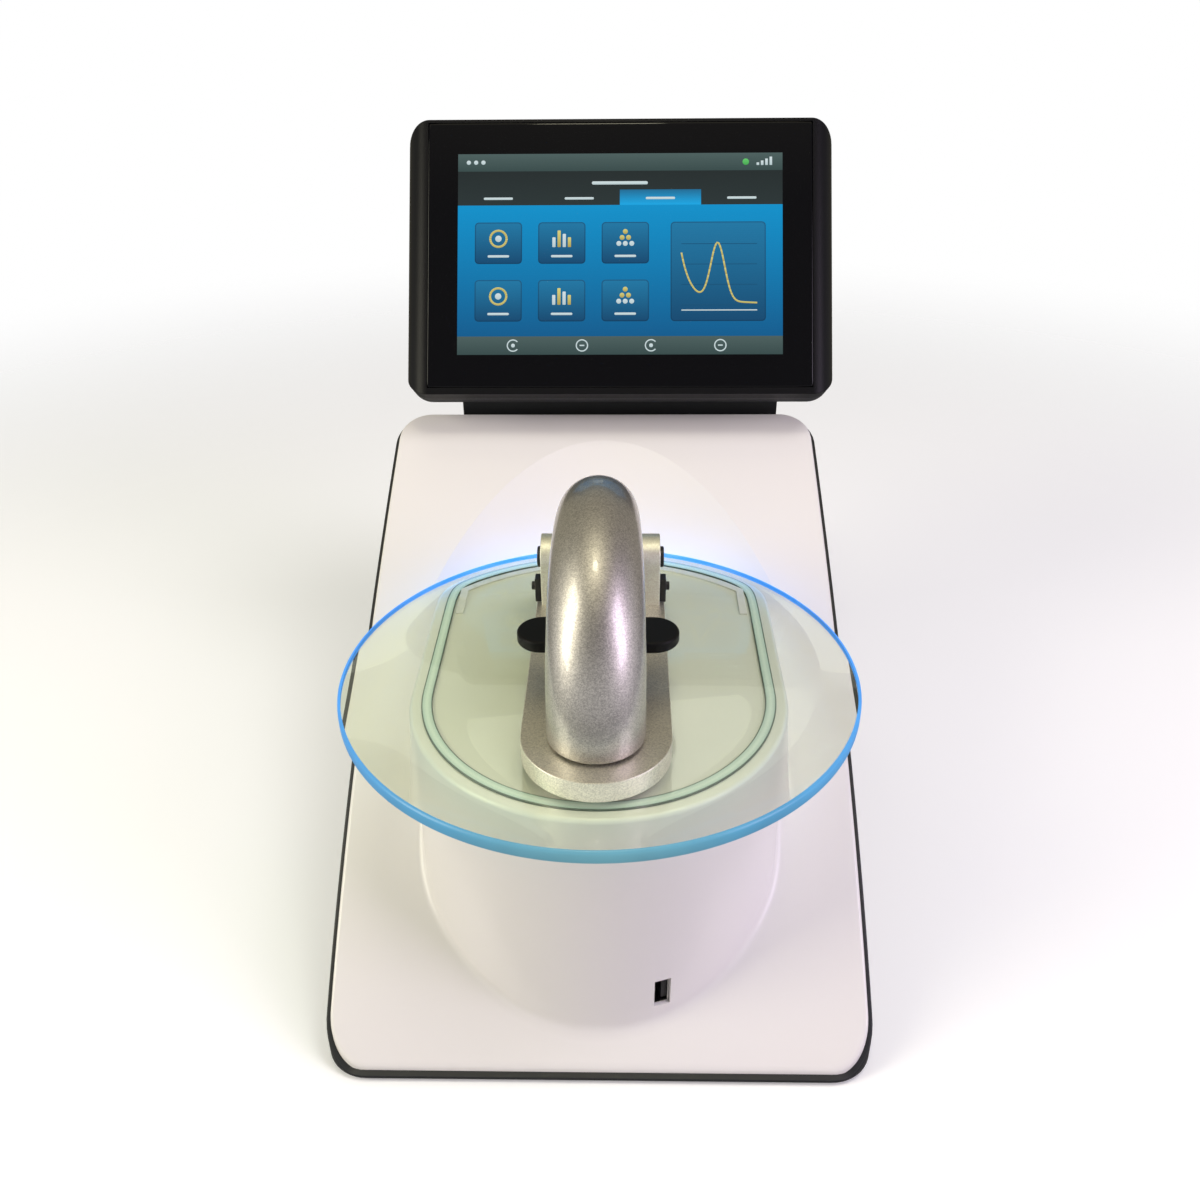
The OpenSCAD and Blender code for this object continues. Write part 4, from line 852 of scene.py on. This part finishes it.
knuckle_half = 12.7
knuckle_radius = 8.5
knuckle_edge = 0.7
knuckle_columns = 72
hinge_y = -2.0
hinge_z = 146.5
around = full_turn(knuckle_columns)
knuckle_profile = [(-knuckle_half, 0)]
knuckle_profile += [(-knuckle_half + knuckle_edge * (1 - c), knuckle_radius - knuckle_edge * (1 - s))
                    for s, c in arc(0, 90, 5)]
knuckle_profile += [(-x, r) for x, r in knuckle_profile[::-1]]
rows = [np.stack([x + 0 * around, hinge_y + r * np.sin(around), hinge_z + r * np.cos(around)], -1)
        for x, r in knuckle_profile]
knuckle = lay_surface("arm_knuckle", np.stack(rows), close_rows=False)
knuckle.data.materials.append(arm_pewter)
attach(knuckle, "arm")

wing_black = moulded("wing_black", (0.006, 0.006, 0.006), 0.42, 0.25, 0.02, shine_level=0.14)
soften("finger_wings", 1.1, wing_black, "arm", segments=4)
soften("arm_belly", 0.4, trim_black, "arm")
soften("upper_bushing", 0.3, trim_black, "arm")
soften("upper_pedestal", 0.25, pedestal_steel, "arm")
soften("belly_screws", 0.2, pin_steel, "arm")


# Front port
# A nickel-plated shell with a black tongue, flush in the white column near its foot.
nickel = turned_metal("nickel", (0.66, 0.65, 0.62), 0.20, "Z")
soften("front_port_shell", 0.12, nickel)
soften("front_port_tongue", 0.15, trim_black)


# Rear connectors and what closes the base
# A black panel with plated sockets, a round power inlet and a power button, over a coated steel
# floor plate on rubber feet.
coated_steel = moulded("coated_steel", (0.014, 0.015, 0.016), 0.50, 0.9, 0.06)
foot_rubber = moulded("foot_rubber", (0.020, 0.020, 0.020), 0.75, 0.5, 0.08)
soften("rear_panel", 0.3, tray_black)
soften("rear_usb_shells", 0.12, nickel)
soften("rear_usb_tongues", 0.15, trim_black)
soften("network_jack", 0.3, nickel)
soften("power_inlet", 0.3, trim_black)
soften("inlet_pin", 0.2, pedestal_steel)
soften("power_button", 0.5, trim_black, "button", segments=3)
soften("floor_plate", 0.2, coated_steel)
soften("rubber_feet", 0.4, foot_rubber, segments=3)
soften("floor_screws", 0.2, pin_steel)


# Slide rail and carriage
# An aluminium rail screwed to the rear of the base, and the black coated carriage that slides on it
# and carries the display's tilt hinge.
satin_aluminium = turned_metal("satin_aluminium", (0.60, 0.60, 0.60), 0.32, "X")
soften("slide_rail", 0.4, satin_aluminium)
soften("rail_screws", 0.3, pin_steel)
soften("display_carriage", 0.5, coated_steel, "carriage")
soften("tilt_pin", 0.3, pin_steel, "display")
soften("display_bracket", 0.4, coated_steel, "display")


# Display housing
# A black back shell with a fine grain, and a glossier front frame whose sides roll over.
frame_black = moulded("frame_black", (0.005, 0.005, 0.006), 0.38, 0.35, 0.012, shine_level=0.15)
shell_black = moulded("shell_black", (0.017, 0.018, 0.020), 0.45, 0.6, 0.06)
soften("display_frame", 1.0, frame_black, "display", segments=4)
soften("display_back", 1.4, shell_black, "display", segments=4)


# Screen
# One pane of black-bordered glass with the lit picture behind it: a status line, tabs, tiles with
# small round and barred signs, a curve, and a row of buttons. The picture is plain and has no words.
slide_x = 7.0
tilt_y = 144.0
tilt_z = 177.7
tilt_depth = 28.0
tilt_low = 40.0
lean = math.radians(32.6)
pane_w = 178.6
pane_h = 124.0
pane_t = 1.8
pane_up = 0.8
picture_w = 150.8
picture_h = 94.2
picture_up = 1.0
pane_edge = 0.35
pane_inset = 0.9
pane_corner = 1.0


def on_display(across, back, up):
    """Places points given across, behind and up the screen's face into the leaning display."""
    y, z = back - tilt_depth, up + tilt_low
    return np.stack([slide_x + across, tilt_y + y * math.cos(lean) + z * math.sin(lean),
                     tilt_z - y * math.sin(lean) + z * math.cos(lean)], -1)


corner_turns = math.atan2(pane_w, pane_h) * np.array([1, -1])
corner_turns = np.concatenate([corner_turns, math.pi + corner_turns]) % (2 * np.pi)
rim = np.unique(np.concatenate([full_turn(96), corner_turns]))
rim_r = lambda inset: reach(rim, pane_w / 2 - inset, -pane_h / 2 + inset, pane_h / 2 - inset,
                            pane_corner - inset, 0)
pane_rows = [(pane_inset, 0), (pane_edge, 0), (0.3 * pane_edge, 0.3 * pane_edge), (0, pane_edge), (0, pane_t)]
rows = [on_display(0 * rim, 0 * rim, pane_up + 0 * rim)]
rows += [on_display(rim_r(inset) * np.sin(rim), back, pane_up + rim_r(inset) * np.cos(rim))
         for inset, back in pane_rows]
rows.append(on_display(0 * rim, pane_t + 0 * rim, pane_up + 0 * rim))
pane = lay_surface("screen_pane", np.stack(rows), close_rows=False)

# Black-backed glass: deep black under a clean mirror, with a trace of finger haze.
screen_glass, node, place = material_of("screen_glass")
haze = node("TexNoise", Vector=place, Scale=30.0, Detail=3.0)
shine = node("MapRange", _0=haze, _1=0.35, _2=0.75, _3=0.03, _4=0.09)
surface(node, Base_Color=(0.004, 0.004, 0.005, 1), Roughness=shine, IOR=1.45, Specular_IOR_Level=0.25)

pane.data.materials.append(screen_glass)
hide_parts("display_glass")
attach(pane, "display")

layer_gap = 0.03
shapes = []


def add_shape(finish, layer, points):
    """Keeps one flat shape of the picture: its finish, its layer above the pane, and its corners in
    millimetres across and up from the picture's lower left."""
    shapes.append((finish, layer, np.asarray(points, float)))


def panel(finish, layer, x0, y0, x1, y1, corner=0.0):
    """A rectangle with round corners, its outline taken by even turning from each corner's centre."""
    if not corner:
        add_shape(finish, layer, [(x0, y0), (x1, y0), (x1, y1), (x0, y1)])
        return
    turn = np.radians(np.concatenate([np.linspace(start, start + 90, 5) for start in (0, 90, 180, 270)]))
    cx = np.repeat([x1 - corner, x0 + corner, x0 + corner, x1 - corner], 5)
    cy = np.repeat([y1 - corner, y1 - corner, y0 + corner, y0 + corner], 5)
    add_shape(finish, layer, np.stack([cx + corner * np.cos(turn), cy + corner * np.sin(turn)], -1))


def disc(finish, layer, x, y, radius):
    """A filled circle."""
    turn = full_turn(24)
    add_shape(finish, layer, np.stack([x + radius * np.cos(turn), y + radius * np.sin(turn)], -1))


def hoop(finish, layer, x, y, radius, width, start=0, stop=360):
    """A ring or part of one, as short four-sided pieces between two circles."""
    turn = np.radians(np.linspace(start, stop, 25))
    for a, b in zip(turn[:-1], turn[1:]):
        ends = (radius, a), (radius - width, a), (radius - width, b), (radius, b)
        add_shape(finish, layer, [(x + r * math.cos(t), y + r * math.sin(t)) for r, t in ends])


def curve(finish, layer, xs, ys, width):
    """A line of even thickness along a curve, made of short pieces set off from it to both sides."""
    line = np.stack([xs, ys], -1)
    run, rise = np.gradient(xs), np.gradient(ys)
    off = np.stack([-rise, run], -1) / np.hypot(run, rise)[:, None] * width / 2
    low, high = line - off, line + off
    for k in range(len(xs) - 1):
        add_shape(finish, layer, [low[k], low[k + 1], high[k + 1], high[k]])


status_low = 86.0
tabs_low = 70.0
buttons_high = 8.6
panel("sky", 1, 0, buttons_high, picture_w, tabs_low)
panel("status", 1, 0, status_low, picture_w, picture_h)
panel("slate", 1, 0, tabs_low, picture_w, status_low)
panel("status", 1, 0, 0, picture_w, buttons_high)
tab_w = picture_w / 4
panel("bright", 2, 2 * tab_w, tabs_low, 3 * tab_w, tabs_low + 7.2)
for k in range(4):
    panel("text", 3, (k + 0.32) * tab_w, tabs_low + 2.6, (k + 0.68) * tab_w, tabs_low + 3.7, 0.5)
panel("text", 2, picture_w / 2 - 13, 79.6, picture_w / 2 + 13, 81.1, 0.7)
for k in range(3):
    disc("text", 2, 5 + 3.4 * k, 90.2, 1.0)
for k in range(4):
    panel("text", 2, picture_w - 12 + 2 * k, 88.4, picture_w - 10.8 + 2 * k, 89.6 + 0.9 * k)
disc("green", 2, picture_w - 17, 90.0, 1.5)

tile_w = 22.0
tile_h = 19.5
tile_edge = 0.5
tile_corner = 1.8
tile_inner_corner = 1.4


def tile(x0, y0, x1, y1):
    """A tile: a dark rim and a lighter face inside it."""
    panel("tile_rim", 2, x0, y0, x1, y1, tile_corner)
    panel("tile", 3, x0 + tile_edge, y0 + tile_edge, x1 - tile_edge, y1 - tile_edge, tile_inner_corner)


tile_x = [8 + 29.5 * k for k in range(3)]
tile_y = [42.5, 15.5]
for row, y in enumerate(tile_y):
    for column, x in enumerate(tile_x):
        tile(x, y, x + tile_w, y + tile_h)
        panel("text", 4, x + 6.0, y + 3.0, x + tile_w - 6.0, y + 4.1, 0.5)
        cx, cy = x + tile_w / 2, y + 11.8
        kind = (row * 3 + column) % 3
        if kind == 0:
            hoop("gold", 4, cx, cy, 4.3, 1.0)
            disc("text", 4, cx, cy, 1.5)
        elif kind == 1:
            for k in range(4):
                panel("gold" if k % 2 else "text", 4, cx - 4.4 + 2.4 * k, cy - 4, cx - 2.9 + 2.4 * k,
                      cy - 1 + 1.6 * ((k * 2) % 3 + 1), 0.3)
        else:
            for a, b in ((-3, -2.4), (0, -2.4), (3, -2.4), (-1.5, 0.4), (1.5, 0.4), (0, 3.2)):
                disc("gold" if b > 0 else "text", 4, cx + a, cy + b, 1.15)

plot_left, plot_right = 99.0, 143.0
plot_start, plot_end = plot_left + 5, plot_right - 4
tile(plot_left, tile_y[1], plot_right, tile_y[0] + tile_h)
for k in range(4):
    panel("tile_rim", 4, plot_start, 23 + 9.5 * k, plot_end, 23.3 + 9.5 * k)
curve_points = 60
curve_width = 0.8
wave_x = np.linspace(plot_start, plot_end, curve_points)
along = (wave_x - wave_x[0]) / (wave_x[-1] - wave_x[0])
wave_y = 24 + 27 * np.exp(-((along - 0.48) / 0.13) ** 2) + 22 * np.exp(-along / 0.12) + 1.5 * (1 - along)
curve("gold", 5, wave_x, wave_y, curve_width)
panel("text", 4, plot_start, 20.4, plot_end, 20.9)

for k, x in enumerate((30.0, 62.0, 94.0, 126.0)):
    hoop("text", 2, x - 4, 4.3, 2.9, 0.55, 0 if k % 2 else 40, 360 if k % 2 else 320)
    if k % 2:
        panel("text", 2, x - 5.1, 4.0, x - 2.9, 4.6)
    else:
        disc("text", 2, x - 4, 4.3, 0.9)

tones = {
    "sky": ((0.004, 0.110, 0.28), (0.003, 0.290, 0.61)),
    "status": ((0.040, 0.072, 0.070), (0.075, 0.120, 0.115)),
    "slate": ((0.024, 0.036, 0.036), (0.018, 0.026, 0.026)),
    "bright": ((0.010, 0.400, 0.80), (0.014, 0.150, 0.30)),
    "tile": ((0.006, 0.070, 0.17), (0.014, 0.190, 0.38)),
    "tile_rim": ((0.004, 0.050, 0.12), (0.012, 0.110, 0.23)),
    "text": ((0.50, 0.62, 0.64), (0.68, 0.78, 0.80)),
    "gold": ((0.46, 0.36, 0.08), (0.72, 0.66, 0.22)),
    "green": ((0.06, 0.40, 0.08), (0.14, 0.60, 0.16)),
}
corners, faces, colours = [], [], []
for finish, layer, points in shapes:
    start = sum(len(block) for block in corners)
    across = points[:, 0] - picture_w / 2
    up = points[:, 1] - picture_h / 2 + picture_up
    corners.append(on_display(across, -layer * layer_gap + 0 * across, up))
    faces.append(tuple(range(start, start + len(points))))
    share = ((points[:, 1] - points[:, 1].min()) / np.ptp(points[:, 1]))[:, None]
    low, high = np.array(tones[finish])
    colours.append(np.concatenate([low + (high - low) * share, np.ones((len(points), 1))], 1))
picture_mesh = bpy.data.meshes.new("screen_picture")
picture_mesh.from_pydata((np.concatenate(corners) * mm).tolist(), [], faces)
layer = picture_mesh.color_attributes.new("tone", "FLOAT_COLOR", "POINT")
layer.data.foreach_set("color", np.concatenate(colours).reshape(-1))

# The lit picture under the pane: each shape shines in its own tone from its foot to its top, a pixel grid a
# quarter of a millimetre wide just shows in it, and the pane's gloss lies over it.
lit_picture, node, place = material_of("lit_picture")
tone = node("VertexColor", {"layer_name": "tone"})
grid = node("TexVoronoi", {"distance": "CHEBYCHEV"}, Vector=place, Scale=4000.0, Randomness=0.0)
power = node("MapRange", _0=grid, _1=0.3, _2=0.5, _3=1.05, _4=0.85)
surface(node, Base_Color=(0.004, 0.004, 0.005, 1), Roughness=0.06, IOR=1.45,
        Specular_IOR_Level=0.25, Emission_Color=tone, Emission_Strength=power)

picture_mesh.materials.append(lit_picture)
picture = put("screen_picture", picture_mesh)
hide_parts("picture_panel")
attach(picture, "display")


# Pieces inside the case
# They show only where a gap or the glass lets light in, and keep their own solids with a fitting finish.
board_green = moulded("board_green", (0.020, 0.130, 0.055), 0.40, 1.5, 0.03)
bench_grey = moulded("bench_grey", (0.14, 0.145, 0.15), 0.50, 0.8, 0.06)
fibre_orange = moulded("fibre_orange", (0.62, 0.22, 0.03), 0.40, 1.0, 0.02)
optic_blue = moulded("optic_blue", (0.30, 0.38, 0.55), 0.12, 2.0, 0.01)
inside = {
    cover_white: ("light_strip",),
    board_green: ("main_board", "front_port_board", "display_board", "spectrometer_sensor"),
    bench_grey: ("spectrometer_case", "spectrometer_lid", "lamp_case", "path_motor", "stirrer_motor"),
    pedestal_steel: ("deck_posts", "board_standoffs", "plate_screws", "stirrer_magnet"),
    satin_aluminium: ("deck_plate",),
    fibre_orange: ("detector_fibre",),
    optic_blue: ("spectrometer_grating", "flash_lamp"),
    trim_black: ("button_switch",),
}
for finish, names in inside.items():
    for name in names:
        nodes[name].data.materials.clear()
        nodes[name].data.materials.append(finish)

model_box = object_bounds()
as_lists = lambda box: [[float(v) for v in corner] for corner in box]
{"cad": as_lists(cad_box), "model": as_lists(model_box)}
